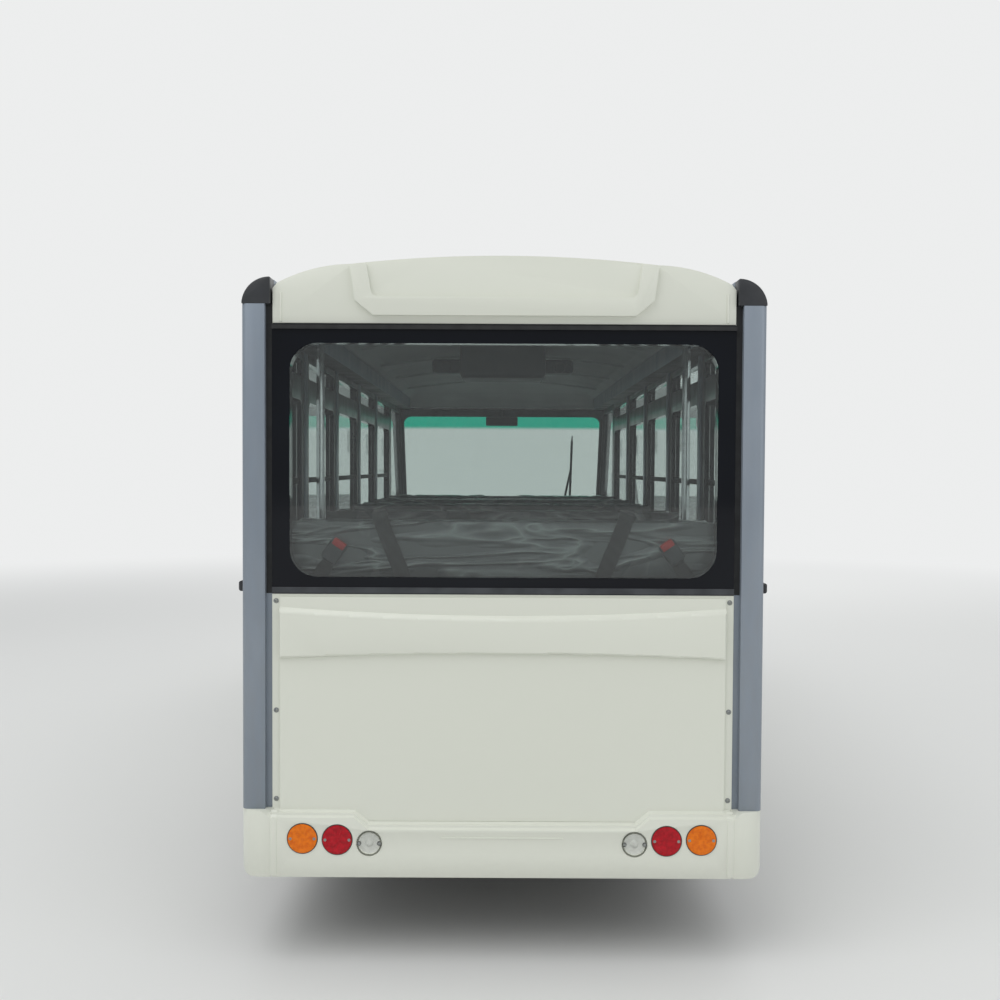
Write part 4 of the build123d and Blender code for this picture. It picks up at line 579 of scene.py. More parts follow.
def softened(node: str, edge: float, cut: float | None = None) -> Piece:
    """A copy of a CAD node with its edges rounded, which stands for it.

    Args:
        node: the node's name.
        edge: width of the rounding in metres, or 0 where the edges stay sharp.
        cut: a height at which its faces are divided, so that they can be painted apart.

    Returns:
        The copy, not yet dressed.
    """
    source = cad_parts[node]
    piece = twin(source, f"{node}_dressed", Matrix.Identity(4))
    for key in [key for key in piece.keys() if key.startswith("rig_")]:
        del piece[key]
    pick(piece)
    bpy.ops.mesh.customdata_custom_splitnormals_clear()
    bpy.ops.mesh.remove_doubles(threshold=0.00002)
    bpy.ops.mesh.dissolve_limited(angle_limit=math.radians(0.6))
    if cut is not None:
        bpy.ops.mesh.select_all(action="SELECT")
        bpy.ops.mesh.bisect(plane_co=(0, 0, cut), plane_no=(0, 0, 1))
    deselect()
    if edge:
        modify(piece, "BEVEL", width=edge, segments=2, limit_method="ANGLE", angle_limit=math.radians(30),
               use_clamp_overlap=True)
    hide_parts(node)
    return piece


def rounded_ring(name: str, low: tuple[float, float], high: tuple[float, float], radius: float, width: float,
                 depth: float, x: float) -> Piece:
    """A flat ring round a window in the right-hand wall, standing outwards from x.

    Args:
        name: the ring's name.
        low: rear lower corner of the window, as (Y, Z).
        high: front upper corner of the window.
        radius: radius of its corners.
        width: width of the ring outside the window's edge.
        depth: how far the ring stands out, negative for inwards.
        x: the wall's face.

    Returns:
        The ring.
    """
    deselect()
    bpy.ops.mesh.primitive_plane_add(size=1, location=(x, (low[0] + high[0]) / 2, (low[1] + high[1]) / 2),
                                     rotation=(math.pi / 2, 0, math.pi / 2),
                                     scale=(high[0] - low[0], high[1] - low[1], 1))
    piece = settle(name)
    pick(piece)
    bpy.ops.mesh.bevel(offset=radius, segments=6, affect="VERTICES")
    bpy.ops.mesh.inset(thickness=width, use_outset=True)
    bpy.ops.mesh.delete(type="FACE")
    deselect()
    modify(piece, "SOLIDIFY", thickness=abs(depth), offset=1.0 if depth > 0 else -1.0)
    modify(piece, "BEVEL", width=min(width, abs(depth)) * 0.35, segments=2, limit_method="ANGLE",
           angle_limit=math.radians(50))
    return piece


# The bodywork


def faces_in(face: Face) -> bool:
    """Whether a face of the body looks towards the cabin's middle."""
    towards = Vector((0.0, max(-1.9, min(1.2, face.center.y)), 1.25)) - face.center
    return face.normal.dot(towards.normalized()) > 0.25


@dataclass
class Bodywork:
    """Panels, posts, roof and floor, with the soft edges that moulds and presses leave."""

    moulded: float = 0.004
    pressed: float = 0.0015
    rear: float = -2.545
    field: float = 0.006
    band: float = 0.014
    band_half: float = 0.642
    band_ends: float = 1.016
    band_middle: float = 0.993
    slope: float = 0.012
    bumper_top: float = 0.444
    tail: float = 0.036
    step: float = 0.034
    step_in: float = 0.384
    step_out: float = 0.425
    roll: float = 0.020
    roll_from: float = -2.5555
    roll_wide: float = 0.0155
    joint: float = 0.668
    joint_high: float = 1.066

    def soften(self, node: str, edge: float, slot: str, main: Finish, *others: tuple[Finish, Test]) -> None:
        """Round a node's edges and dress it, on the body."""
        hand_over(paint(softened(node, edge), main, *others), "body")

    def shells(self) -> None:
        """The moulded shells."""
        self.soften("roof_shell", self.moulded, "off_white_paint", GEL_COAT, (HEADLINER, faces_in))
        self.soften("roof_rear_cap", 0.006, "off_white_paint", GEL_COAT,
                    (HEADLINER, lambda face: face.normal.y > 0.9 and face.center.y > -2.503))
        self.rear_panel()
        self.rear_bumper()
        self.soften("front_mask", self.moulded, "off_white_paint", GEL_COAT, (WALL_ABS, faces_in))
        self.soften("front_bumper", self.moulded, "off_white_paint", GEL_COAT)
        self.soften("pillar_caps", 0.007, "black_moulding", BLACK_ABS)
        self.soften("wheel_arches", self.pressed, "black_moulding", BLACK_ABS)
        self.soften("dashboard", 0.006, "cabin_plastic", CABIN_ABS)
        self.soften("ceiling_unit", 0.005, "cabin_plastic", CABIN_ABS)

    def rear_panel(self) -> None:
        """The rear panel: its field runs down behind the bumper's step, its band gets a sloping upper edge."""
        piece = softened("rear_panel", 0.0)
        pick(piece, lambda face: face.center.y < self.rear - 0.0003 and face.center.z < self.bumper_top + 0.0045)
        bpy.ops.transform.translate(value=(0, 0, -self.tail))
        deselect()
        for vertex in piece.data.vertices:
            out = (self.rear - self.field - vertex.co.y) / self.band
            crown = self.band_ends - (self.band_ends - self.band_middle) * (1 - (vertex.co.x / self.band_half) ** 2)
            if -0.02 < out < 1.01 and abs(vertex.co.z - crown) < 0.012:
                vertex.co.z += self.slope * (1 - max(out, 0.0))
        hand_over(paint(piece, GEL_COAT, (WALL_ABS, lambda face: face.normal.y > 0.9)), "body")

    def rear_bumper(self) -> None:
        """The rear bumper, its upper edge rolled over towards the outside."""
        piece = softened("rear_bumper", 0.005)
        for vertex in piece.data.vertices:
            share = max(0.0, min(1.0, (abs(vertex.co.x) - self.step_in) / (self.step_out - self.step_in)))
            top = self.bumper_top - self.step * (1 - share)
            out = max(0.0, min(1.0, (self.roll_from - vertex.co.y) / self.roll_wide))
            if vertex.co.z > top - 0.0075 and abs(vertex.co.x) < self.joint:
                vertex.co.z -= self.roll * out
        hand_over(paint(piece, GEL_COAT), "body")

    def frames(self) -> None:
        """The extruded frame of posts, rails and sills, and the windscreen's frame."""
        hinge: Test = lambda face: abs(face.center.x) > PAST_SIDE
        inside: Test = lambda face: (abs(face.center.x) < PAST_INNER and face.center.y > CABIN_REAR
                                     and face.center.z < 1.86)
        sill: Test = lambda face: face.center.z < 0.331 and face.center.y > CABIN_REAR
        self.soften("side_frame", self.pressed, "silver_grey", POWDER_COAT, (WALL_ABS, inside),
                    (CHASSIS_BLACK, sill), (BLACK_ABS, hinge))
        self.soften("front_frame", self.pressed, "black_moulding", FIRED_BAND, (WALL_ABS, faces_in))
        band = softened("rear_window_frame", 0.0, cut=self.joint_high)
        edge: Test = lambda face: abs(face.center.x) > 0.6655
        paint(band, FIRED_BAND,
              (RUBBER, lambda face: edge(face) or (face.center.y < PAST_REAR and face.center.z > 1.8)),
              (POWDER_COAT, lambda face: edge(face) and face.center.z < self.joint_high),
              (GREY_RUBBER, lambda face: face.center.y < PAST_REAR and face.center.z < 1.1 and not edge(face)))
        hand_over(band, "body", angle=25)

    def floor(self) -> None:
        """The floor's covering on its upper faces."""
        paint(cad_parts["floor_deck"], CHASSIS_BLACK, (FLOOR_PVC, lambda face: face.normal.z > 0.5))

    def windows(self) -> None:
        """Each pane of the fixed windows in its own glass."""
        paint(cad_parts["fixed_windows"], SIDE_GLASS,
              (REAR_GLASS, lambda face: face.center.y < -2.4),
              (SCREEN_GLASS, lambda face: face.center.y > 1.2 and abs(face.center.x) < 0.705))

    def seams(self) -> None:
        """Dark joint lines where the moulded shells meet the frame."""
        parts = []
        for side in SIDES:
            x = side * 0.6665
            parts.append(block("seam", (x - 0.0025, -2.49, 1.9155), (x + 0.0025, 1.90, 1.962), 0.001))
        fit("roof_joint_seals", parts, RUBBER)

    def build(self) -> None:
        """Build all of the bodywork."""
        self.shells()
        self.frames()
        self.floor()
        self.windows()
        self.seams()


@dataclass
class RearFace:
    """What is on the rear: flange screws, the bumper's crease and joint beads, the roof cap's beads and seal."""

    flange_x: float = 0.6535
    face_y: float = -2.545
    heights: tuple[float, ...] = (1.045, 0.728, 0.470)
    bumper_y: float = -2.576
    joint_x: float = 0.6565
    joint_half: float = 0.0095
    bead_top: float = 0.4405
    lean: float = 0.0180
    washer: float = 0.0075
    head: float = 0.0052

    def screw(self, x: float, z: float) -> Piece:
        """A round-headed screw on its washer, with a cross cut into its head."""
        y = self.face_y
        washer = rod("washer", (x, y + 0.0005, z), (x, y - 0.0012, z), self.washer, 28, 0.0004)
        deselect()
        bpy.ops.mesh.primitive_uv_sphere_add(segments=20, ring_count=12, radius=self.head,
                                             location=(x, y - 0.001, z),
                                             scale=(1, 0.62, 1))
        head = settle("head")
        pick(head, lambda face: face.center.y > y - 0.001)
        bpy.ops.mesh.delete(type="FACE")
        pick(head, lambda face: face.center.y < y - 0.001 - 0.55 * self.head and
             (abs(face.center.x - x) < 0.0009 or abs(face.center.z - z) < 0.0009))
        bpy.ops.mesh.extrude_region_move(TRANSFORM_OT_translate={"value": (0, 0.0012, 0)})
        deselect()
        return joined("screw", [washer, head])

    def screws(self) -> None:
        """Three screws down each flange."""
        parts = [self.screw(side * self.flange_x, z) for side in SIDES for z in self.heights]
        fit("rear_flange_screws", parts, ZINC)

    def beads(self) -> None:
        """The upright crease beside each edge of the roof cap, and a seal under the cap."""
        parts = []
        for side in SIDES:
            x = side * 0.640
            parts.append(block("bead", (x - 0.0035, -2.5478, 1.846), (x + 0.0035, -2.542, 1.930), 0.0016, 3))
        fit("roof_cap_beads", parts, GEL_COAT)
        seal = block("rear_cap_seal", (-0.662, -2.5475, 1.8382), (0.662, -2.543, 1.8422), 0.001)
        hand_over(seal, "body", RUBBER)

    def crease(self) -> None:
        """The short swage in the middle of the bumper, tapered to its ends."""
        ridge = block("ridge", (-0.175, self.bumper_y - 0.0020, 0.3652),
                      (0.175, self.bumper_y + 0.002, 0.3692), 0.0012)
        pick(ridge, lambda face: abs(face.normal.x) > 0.7)
        bpy.ops.transform.resize(value=(1, 0.2, 0.25))
        deselect()
        hand_over(ridge, "body", GEL_COAT)

    def joints(self) -> None:
        """The rounded pale beads over the joints between the bumper's three pieces."""
        parts = []
        for side in SIDES:
            x = side * self.joint_x
            parts.append(block("bead", (x - self.joint_half, self.bumper_y - 0.0014, 0.256),
                               (x + self.joint_half, self.bumper_y + 0.022, 0.4225), 0.0012, 2))
            over = block("bead_end", (x - self.joint_half, self.bumper_y - 0.0012, 0.4205),
                         (x + self.joint_half, self.bumper_y + 0.022, self.bead_top), 0.0008, 2)
            pick(over, lambda face: face.center.z > self.bead_top - 0.002)
            bpy.ops.transform.translate(value=(0, self.lean, 0))
            deselect()
            parts.append(over)
        fit("bumper_joint_strips", parts, GEL_COAT)

    def build(self) -> None:
        """Build everything on the rear face."""
        self.joints()
        self.screws()
        self.beads()
        self.crease()


# Lamps


class Lens(Enum):
    """The colours of lamp lenses."""

    AMBER = "amber"
    RED = "red"
    CLEAR = "clear"


@dataclass
class Lamps:
    """Round lamps: a fluted lens with stepped rings, screw lugs, and a reflector with its bulb behind."""

    face: float = -2.576
    sides: int = 64
    rear: tuple = ((Lens.AMBER, 0.573, 0.364, 0.042), (Lens.RED, 0.473, 0.361, 0.042),
                   (Lens.CLEAR, 0.381, 0.351, 0.0365))
    front: tuple = ((Lens.CLEAR, 0.545, 0.745, 0.082, 2.542), (Lens.AMBER, 0.642, 0.612, 0.034, 2.514))

    def lens(self, x: float, z: float, radius: float, y: float, out: float, depth: float) -> Piece:
        """A domed lens in rings, every other flute pressed in.

        Args:
            x: its middle.
            z: its height.
            radius: its radius.
            y: the face that it stands on.
            out: -1 where it looks back, 1 where it looks forward.
            depth: how far it stands out.

        Returns:
            The lens, closed behind.
        """
        deselect()
        bpy.ops.mesh.primitive_circle_add(vertices=self.sides, radius=radius, fill_type="NGON", location=(x, y, z),
                                          rotation=FACING)
        piece = settle("lens")
        pick(piece)
        bpy.ops.mesh.extrude_region_move(TRANSFORM_OT_translate={"value": (0, out * depth * 0.55, 0)})
        steps = ((0.05, 0.25), (0.20, 0.10), (0.02, -0.05), (0.25, 0.08), (0.02, -0.05), (0.25, 0.06))
        for share, rise in steps:
            bpy.ops.mesh.inset(thickness=radius * share)
            bpy.ops.transform.translate(value=(0, out * depth * rise, 0))
        deselect()
        middle = Vector((x, 0, z))
        for vertex in piece.data.vertices:
            flat = Vector((vertex.co.x, 0, vertex.co.z)) - middle
            share = flat.length / radius
            if 0.3 < share < 0.93 and abs(vertex.co.y - y) > depth * 0.5:
                turn = round((math.atan2(flat.z, flat.x) / math.tau) * self.sides) % 4
                vertex.co.y -= out * 0.0006 * (turn in (0, 1))
        focus(piece)
        bpy.ops.object.mode_set(mode="EDIT")
        bpy.ops.mesh.select_all(action="SELECT")
        bpy.ops.mesh.normals_make_consistent(inside=False)
        deselect()
        return piece

    def cup(self, x: float, z: float, radius: float, y: float, out: float) -> Piece:
        """A bowl-shaped reflector just behind a lens, with a bulb's round end in it."""
        deselect()
        bpy.ops.mesh.primitive_circle_add(vertices=32, radius=radius, fill_type="NGON", location=(x, y, z),
                                          rotation=FACING)
        piece = settle("cup")
        pick(piece)
        for share, rise in ((0.12, 0.10), (0.25, 0.12), (0.28, 0.06), (0.15, -0.20), (0.06, -0.06)):
            bpy.ops.mesh.inset(thickness=radius * share)
            bpy.ops.transform.translate(value=(0, -out * radius * rise * 0.4, 0))
        deselect()
        return piece

    def ears(self, x: float, z: float, radius: float, y: float, out: float) -> Piece:
        """Two screw heads in the lens's lugs, at three and nine o'clock."""
        heads = []
        for side in SIDES:
            at = x + side * (radius - 0.0075)
            heads.append(rod("ear", (at, y, z), (at, y + out * 0.0038, z), 0.0046, 16, 0.0009))
        return joined("ears", heads)

    def gap_shade_rings(self) -> None:
        """A thin dark ring round each dyed rear lamp, where the lens meets the bumper: painted shade for the shadow in
        that gap, made in dark rubber.
        """
        rings = []
        for kind, x, z, radius in self.rear:
            for at in (-x, x) if kind is not Lens.CLEAR else ():
                rings.append(hoop((at, self.face - 0.0002, z), radius + 0.0009, 0.0017, 64))
        # Painted shade: dark rings where only the gap's shadow falls round each lens.
        fit("rear_lamp_gap_shade_rings", rings, RUBBER, 60)

    def build(self) -> None:
        """Build the rear and front lamps, one piece of each colour."""
        self.gap_shade_rings()
        finishes = {Lens.AMBER: AMBER_LENS, Lens.RED: RED_LENS, Lens.CLEAR: CLEAR_LENS}
        for kind, finish in finishes.items():
            lenses, cups, heads, bodies = [], [], [], []
            for which, x, z, radius in self.rear:
                if which is kind:
                    for at in (-x, x):
                        lenses.append(self.lens(at, z, radius, self.face, -1, 0.0038))
                        for side in SIDES:
                            lug = at + side * (radius - 0.0075)
                            lenses.append(rod("lug", (lug, self.face, z), (lug, self.face - 0.0035, z), 0.0064, 20,
                                              0.0006))
                        cups.append(self.cup(at, z, radius * 0.97, self.face + 0.0008, -1))
                        heads.append(self.ears(at, z, radius, self.face, -1))
                        bodies.append(rod("body", (at, self.face + 0.0120, z), (at, self.face + 0.022, z),
                                          radius - 0.006, 32))
            for which, x, z, radius, y in self.front:
                if which is kind:
                    for at in (-x, x):
                        lenses.append(self.lens(at, z, radius, y - 0.022, 1, 0.020))
                        cups.append(self.cup(at, z, radius * 0.96, y - 0.0225, 1))
                        bodies.append(rod("body", (at, y - 0.0400, z), (at, y - 0.088, z), radius, 40, 0.002))
            lens = joined(f"lenses_{kind.value}", lenses)
            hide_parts(f"lamps_{kind.value}")
            hand_over(lens, "body", finish, 25)
            bowls = paint(joined(f"reflectors_{kind.value}", cups), WHITE_BOWL,
                          (MIRROR_COAT, lambda face: face.center.y > 0))
            hand_over(bowls, "body", angle=20)
            fit(f"lamp_bodies_{kind.value}", bodies, BLACK_ABS)
            fit(f"lamp_screws_{kind.value}", heads, ZINC)


# Studio


@dataclass
class Studio:
    """A pale floor under soft lamps, seen from where the photograph was taken."""

    eye: tuple[float, float, float] = (-0.010, -5.657, 1.43)
    pitch: float = 1.69
    roll: float = 0.28
    lens: float = 39.0
    ground: str = "E9E9E7"

    def camera(self) -> None:
        """The camera, a little tilted down and turned."""
        data = bpy.data.cameras.new("camera")
        data.lens = self.lens
        data.sensor_width = 36.0
        data.clip_end = 200.0
        camera = bpy.data.objects.new("camera", data)
        camera.location = self.eye
        turn = Matrix.Rotation(math.radians(90 - self.pitch), 4, "X") @ Matrix.Rotation(math.radians(self.roll), 4, "Z")
        camera.rotation_euler = turn.to_euler()
        bpy.context.scene.collection.objects.link(camera)
        bpy.context.scene.camera = camera

    def floor(self) -> None:
        """The round floor, which looks as pale as the backdrop to the camera and keeps the shadow."""
        deselect()
        bpy.ops.mesh.primitive_circle_add(vertices=96, radius=40.0, fill_type="NGON", location=(0, 0, 0))
        ground = settle("studio_floor")
        made, tree = fresh("studio_floor_paint")
        away = add(tree, "VectorMath", {0: add(tree, "TexCoord").outputs["Object"]}, operation="LENGTH").outputs[1]
        fade = add(tree, "MapRange", {0: away, 1: 5.0, 2: 13.0}, interpolation_type="SMOOTHSTEP").outputs[0]
        rays = add(tree, "LightPath")
        seen = add(tree, "Math", {0: rays.outputs["Is Camera Ray"], 1: rays.outputs["Is Transmission Ray"]},
                   operation="MAXIMUM").outputs[0]
        seen = add(tree, "Math", {0: seen, 1: rays.outputs["Is Glossy Ray"]}, operation="MAXIMUM").outputs[0]
        far = add(tree, "Math", {0: fade, 1: seen}, operation="MULTIPLY").outputs[0]
        near = add(tree, "BsdfDiffuse", {"Color": linear(self.ground)}).outputs[0]
        pale = add(tree, "Emission", {"Color": linear("F1F2F2"), "Strength": 0.96}).outputs[0]
        add(tree, "OutputMaterial", {0: add(tree, "MixShader", {0: far, 1: near, 2: pale}).outputs[0]})
        ground.data.materials.append(made)

    def lamp(self, name: str, at: Point, aim: Point, size: float, watts: float) -> None:
        """A large soft lamp."""
        data = bpy.data.lights.new(name, "AREA")
        data.shape = "RECTANGLE"
        data.size = data.size_y = size
        data.energy = watts
        lamp = bpy.data.objects.new(name, data)
        lamp.location = at
        lamp.rotation_euler = (Vector(aim) - Vector(at)).to_track_quat("-Z", "Y").to_euler()
        bpy.context.scene.collection.objects.link(lamp)

    def world(self) -> None:
        """A pale sky, which the camera sees a little brighter than it lights."""
        world = bpy.data.worlds.new("studio_world")
        bpy.context.scene.world = world
        world.use_nodes = True
        tree = world.node_tree
        tree.nodes.clear()
        rays = add(tree, "LightPath")
        seen = add(tree, "Math", {0: rays.outputs["Is Camera Ray"], 1: rays.outputs["Is Transmission Ray"]},
                   operation="MAXIMUM").outputs[0]
        light = add(tree, "Background", {"Color": linear("EDF0F2"), "Strength": 0.59}).outputs[0]
        view = add(tree, "Background", {"Color": linear("F1F2F2"), "Strength": 0.96}).outputs[0]
        add(tree, "OutputWorld", {0: add(tree, "MixShader", {0: seen, 1: light, 2: view}).outputs[0]})

    def build(self) -> None:
        """Build the whole studio."""
        bpy.context.scene.view_settings.view_transform = "Standard"
        self.camera()
        self.floor()
        self.lamp("key", (-4.0, -6.5, 8.5), (0, -1.8, 0.9), 8.0, 300.0)
        self.lamp("fill", (6.0, -7.0, 4.5), (0, -1.5, 1.0), 7.0, 95.0)
        self.lamp("front", (2.5, 8.5, 6.0), (0, 1.5, 1.0), 8.0, 210.0)
        self.lamp("top", (0, 0, 9.0), (0, 0, 1.0), 10.0, 175.0)
        self.world()


# Cabin


@dataclass
class Seats:
    """Foam seats under sewn vinyl in film, blown up by cloth simulation, with seams sunk in afterwards."""

    rows: tuple[float, ...] = (-2.385, -1.645, -0.905, -0.165, 0.575)
    base: float = 0.690
    wide: float = 0.645
    split: float = 0.060
    tilt: float = math.radians(9)
    cushion: float = 0.110
    deep: float = 0.420
    high: float = 0.500
    voxel: float = 0.009

    def puff(self, piece: Piece, limit: float) -> Piece:
        """Swell a piece by cloth pressure, each point by no more than a limit.

        Args:
            piece: a closed mesh, a little smaller than the foam's place.
            limit: how far in metres a point may move.

        Returns:
            The same piece, remeshed and swollen.
        """
        modify(piece, "REMESH", mode="VOXEL", voxel_size=self.voxel)
        start = [vertex.co.copy() for vertex in piece.data.vertices]
        focus(piece)
        cloth = piece.modifiers.new("cloth", "CLOTH")
        cloth.settings.use_pressure = True
        cloth.settings.uniform_pressure_force = 4.0
        cloth.settings.effector_weights.gravity = 0.0
        cloth.settings.quality = 4
        cloth.point_cache.frame_start, cloth.point_cache.frame_end = 1, 20
        for number in range(1, 21):
            bpy.context.scene.frame_set(number)
        shape = piece.evaluated_get(bpy.context.evaluated_depsgraph_get()).data
        moved = [vertex.co.copy() for vertex in shape.vertices]
        piece.modifiers.remove(cloth)
        bpy.context.scene.frame_set(1)
        for vertex, old, new in zip(piece.data.vertices, start, moved):
            step = new - old
            vertex.co = old + step * min(1.0, limit / max(step.length, 1e-9))
        modify(piece, "SMOOTH", factor=0.5, iterations=3)
        return piece

    def sink(self, piece: Piece, across: Point, along: Sequence[tuple[float, float]], axis: int) -> Piece:
        """Sink sewn channels into a swollen pad.

        Args:
            piece: the pad in its own flat position, before it leans.
            across: places in X of channels that run up or along the seat.
            along: pairs of place on the other axis and depth share of channels that run across.
            axis: 1 where those lie in Y, as on a cushion, or 2 where they lie in Z, as on a back.

        Returns:
            The same pad.
        """
        normals = [vertex.normal.copy() for vertex in piece.data.vertices]
        for vertex, normal in zip(piece.data.vertices, normals):
            sunk = sum(math.exp(-((vertex.co.x - at) / 0.009) ** 2) for at in across)
            sunk += sum(share * math.exp(-((vertex.co[axis] - at) / 0.009) ** 2) for at, share in along)
            vertex.co -= normal * 0.0075 * min(sunk, 1.0)
        return piece

    def cushion_pad(self, name: str, x0: float, x1: float, seams: Point) -> Piece:
        """One cushion at the first row's place, unmoved."""
        pad = block(name, (x0 + 0.016, 0.018, self.base + 0.014),
                    (x1 - 0.016, self.deep - 0.012, self.base + self.cushion - 0.014), 0.026, 4)
        self.sink(self.puff(pad, 0.012), seams, ((0.12, 0.8),), 1)
        return self.inside(pad, (x0, 0.004, self.base + 0.001), (x1, self.deep, self.base + self.cushion))

    def back_pad(self, name: str, x0: float, x1: float, seams: Point) -> Piece:
        """One back in its leaning frame, before it leans."""
        low, high = self.cushion + 0.012, self.cushion + self.high
        pad = block(name, (x0 + 0.016, 0.014, low + 0.016), (x1 - 0.016, 0.083, high - 0.014), 0.026, 4)
        self.sink(self.puff(pad, 0.012), seams, ((low + 0.17, 0.8), (high - 0.13, 0.9)), 2)
        return self.inside(pad, (x0, 0.001, low), (x1, 0.095, high))

    def inside(self, pad: Piece, low: Point, high: Point) -> Piece:
        """Press a pad flat where it would leave the space it rests in."""
        for vertex in pad.data.vertices:
            for axis in range(3):
                vertex.co[axis] = max(low[axis], min(high[axis], vertex.co[axis]))
        return pad

    def lean(self, row: float) -> Matrix:
        """Where a row's leaning back stands."""
        return Matrix.Translation((0, row, self.base)) @ Matrix.Rotation(self.tilt, 4, "X")

    def build(self) -> None:
        """Model one bench and one single seat, and copy them along the rows."""
        thirds = (-0.215, 0.215)
        models = {"bench_cushion": self.cushion_pad("bench_cushion", -self.wide, self.wide, thirds),
                  "bench_back": self.back_pad("bench_back", -self.wide, self.wide, thirds),
                  "single_cushion": self.cushion_pad("single_cushion", self.split, self.wide, (0.20, 0.505)),
                  "single_back": self.back_pad("single_back", self.split, self.wide, (0.20, 0.505))}
        pads = []
        for number, row in enumerate(self.rows):
            places = {"cushion": Matrix.Translation((0, row, 0)), "back": self.lean(row)}
            for part, move in places.items():
                if number < len(self.rows) - 1:
                    pads.append(twin(models[f"bench_{part}"], f"seat_{part}_row_{5 - number}", move))
                else:
                    single = models[f"single_{part}"]
                    pads.append(twin(single, f"seat_{part}_front_right", move))
                    pads.append(twin(single, f"seat_{part}_front_left", MIRRORED @ move))
        for model in models.values():
            bpy.data.objects.remove(model)
        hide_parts("seat_pads")
        for pad in pads:
            hand_over(pad, "body", SEAT_VINYL, 80)
        paint(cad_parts["seat_frames"], SEAT_SHELL, (SEAT_VINYL, lambda face: face.center.z > 0.700))


@dataclass
class Belts:
    """Seat belts: flat webbing over the backs and cushions, and buckles with red buttons."""

    seats: Seats
    width: float = 0.046
    thick: float = 0.0014

    def strap(self, name: str, points: Sequence[Point]) -> Piece:
        """Flat webbing along points, its width lying across the vehicle.

        Args:
            name: the strap's name.
            points: its middle line, at least two points.

        Returns:
            The strap, with thickness and rounded selvedges.
        """
        deselect()
        half = self.width / 2
        bpy.ops.mesh.primitive_plane_add(size=1, location=points[0])
        piece = settle(name)
        mesh = piece.data
        corners = []
        line = [Vector(point) for point in points]
        for number, point in enumerate(line):
            along = (line[min(number + 1, len(line) - 1)] - line[max(number - 1, 0)]).normalized()
            side = along.cross(Vector((0, 1, 0)))
            side = side.normalized() if side.length > 0.2 else Vector((1, 0, 0))
            corners += [point - side * half, point + side * half]
        mesh.clear_geometry()
        faces = [(2 * i, 2 * i + 1, 2 * i + 3, 2 * i + 2) for i in range(len(line) - 1)]
        mesh.from_pydata([tuple(corner) for corner in corners], [], faces)
        mesh.update()
        modify(piece, "SUBSURF", levels=2)
        modify(piece, "SOLIDIFY", thickness=self.thick, offset=0.0)
        return piece

    def buckle(self, at: Vector, lean: float) -> tuple[Piece, Piece]:
        """A buckle's black body and its red button, leaning sideways by an angle."""
        turn = Matrix.Translation(at) @ Matrix.Rotation(lean, 4, "Y")
        body = block("buckle", (-0.026, -0.010, -0.040), (0.026, 0.010, 0.030), 0.006, 3)
        pick(body, lambda face: face.center.z < -0.03 and face.normal.z < -0.5)
        bpy.ops.transform.resize(value=(0.7, 0.7, 1))
        deselect()
        button = block("button", (-0.020, -0.012, 0.012), (0.020, 0.012, 0.033), 0.003, 2)
        for piece in (body, button):
            piece.data.transform(turn)
        return body, button

    def behind(self) -> None:
        """The straps that hang behind the last row, as the rear window shows them."""
        rear = self.seats.lean(self.seats.rows[0])
        straps, bodies, buttons = [], [], []
        for side in SIDES:
            route = [(side * 0.37, 0.055, 0.6145), (side * 0.365, 0.010, 0.6155), (side * 0.360, -0.0165, 0.604),
                     (side * 0.335, -0.0165, 0.53), (side * 0.290, -0.0165, 0.42), (side * 0.262, -0.0165, 0.33)]
            straps.append(self.strap("strap", [rear @ Vector(point) for point in route]))
            low = [(side * 0.505, -0.0165, 0.485), (side * 0.545, -0.0165, 0.42), (side * 0.590, -0.0165, 0.35)]
            straps.append(self.strap("strap", [rear @ Vector(point) for point in low]))
            body, button = self.buckle(rear @ Vector((side * 0.492, -0.0275, 0.508)), -side * 0.6)
            bodies.append(body)
            buttons.append(button)
        fit("rear_belt_straps", straps, WEBBING, 40)
        fit("rear_belt_buckles", bodies, BLACK_ABS)
        fit("rear_belt_buttons", buttons, RED_NYLON)

    def laps(self) -> None:
        """A lap belt on each seat, from the crease between cushion and back over the cushion."""
        straps, bodies, buttons = [], [], []
        top = self.seats.base + self.seats.cushion + 0.0015
        for number, row in enumerate(self.seats.rows):
            middles = (-0.43, 0.0, 0.43) if number < 4 else (-0.3525, 0.3525)
            for middle in middles:
                for side in SIDES:
                    x = middle + side * 0.115
                    end = row + 0.24 + 0.02 * side
                    straps.append(self.strap("lap", [(x, row + 0.105, top), (x, row + 0.15, top + 0.003),
                                                     (x - side * 0.02, row + 0.2, top + 0.0025),
                                                     (x - side * 0.035, end, top + 0.0015)]))
                body, button = self.buckle(Vector((middle + 0.08, row + 0.275, top + 0.0115)), 0.0)
                for piece in (body, button):
                    move = Matrix.Translation((middle + 0.08, row + 0.275, top + 0.0115))
                    piece.data.transform(move @ Matrix.Rotation(-math.pi / 2, 4, "X") @ move.inverted())
                bodies.append(body)
                buttons.append(button)
        fit("lap_belt_straps", straps, WEBBING, 40)
        fit("lap_belt_buckles", bodies, BLACK_ABS)
        fit("lap_belt_buttons", buttons, RED_NYLON)

    def build(self) -> None:
        """Build all of the belts."""
        self.behind()
        self.laps()


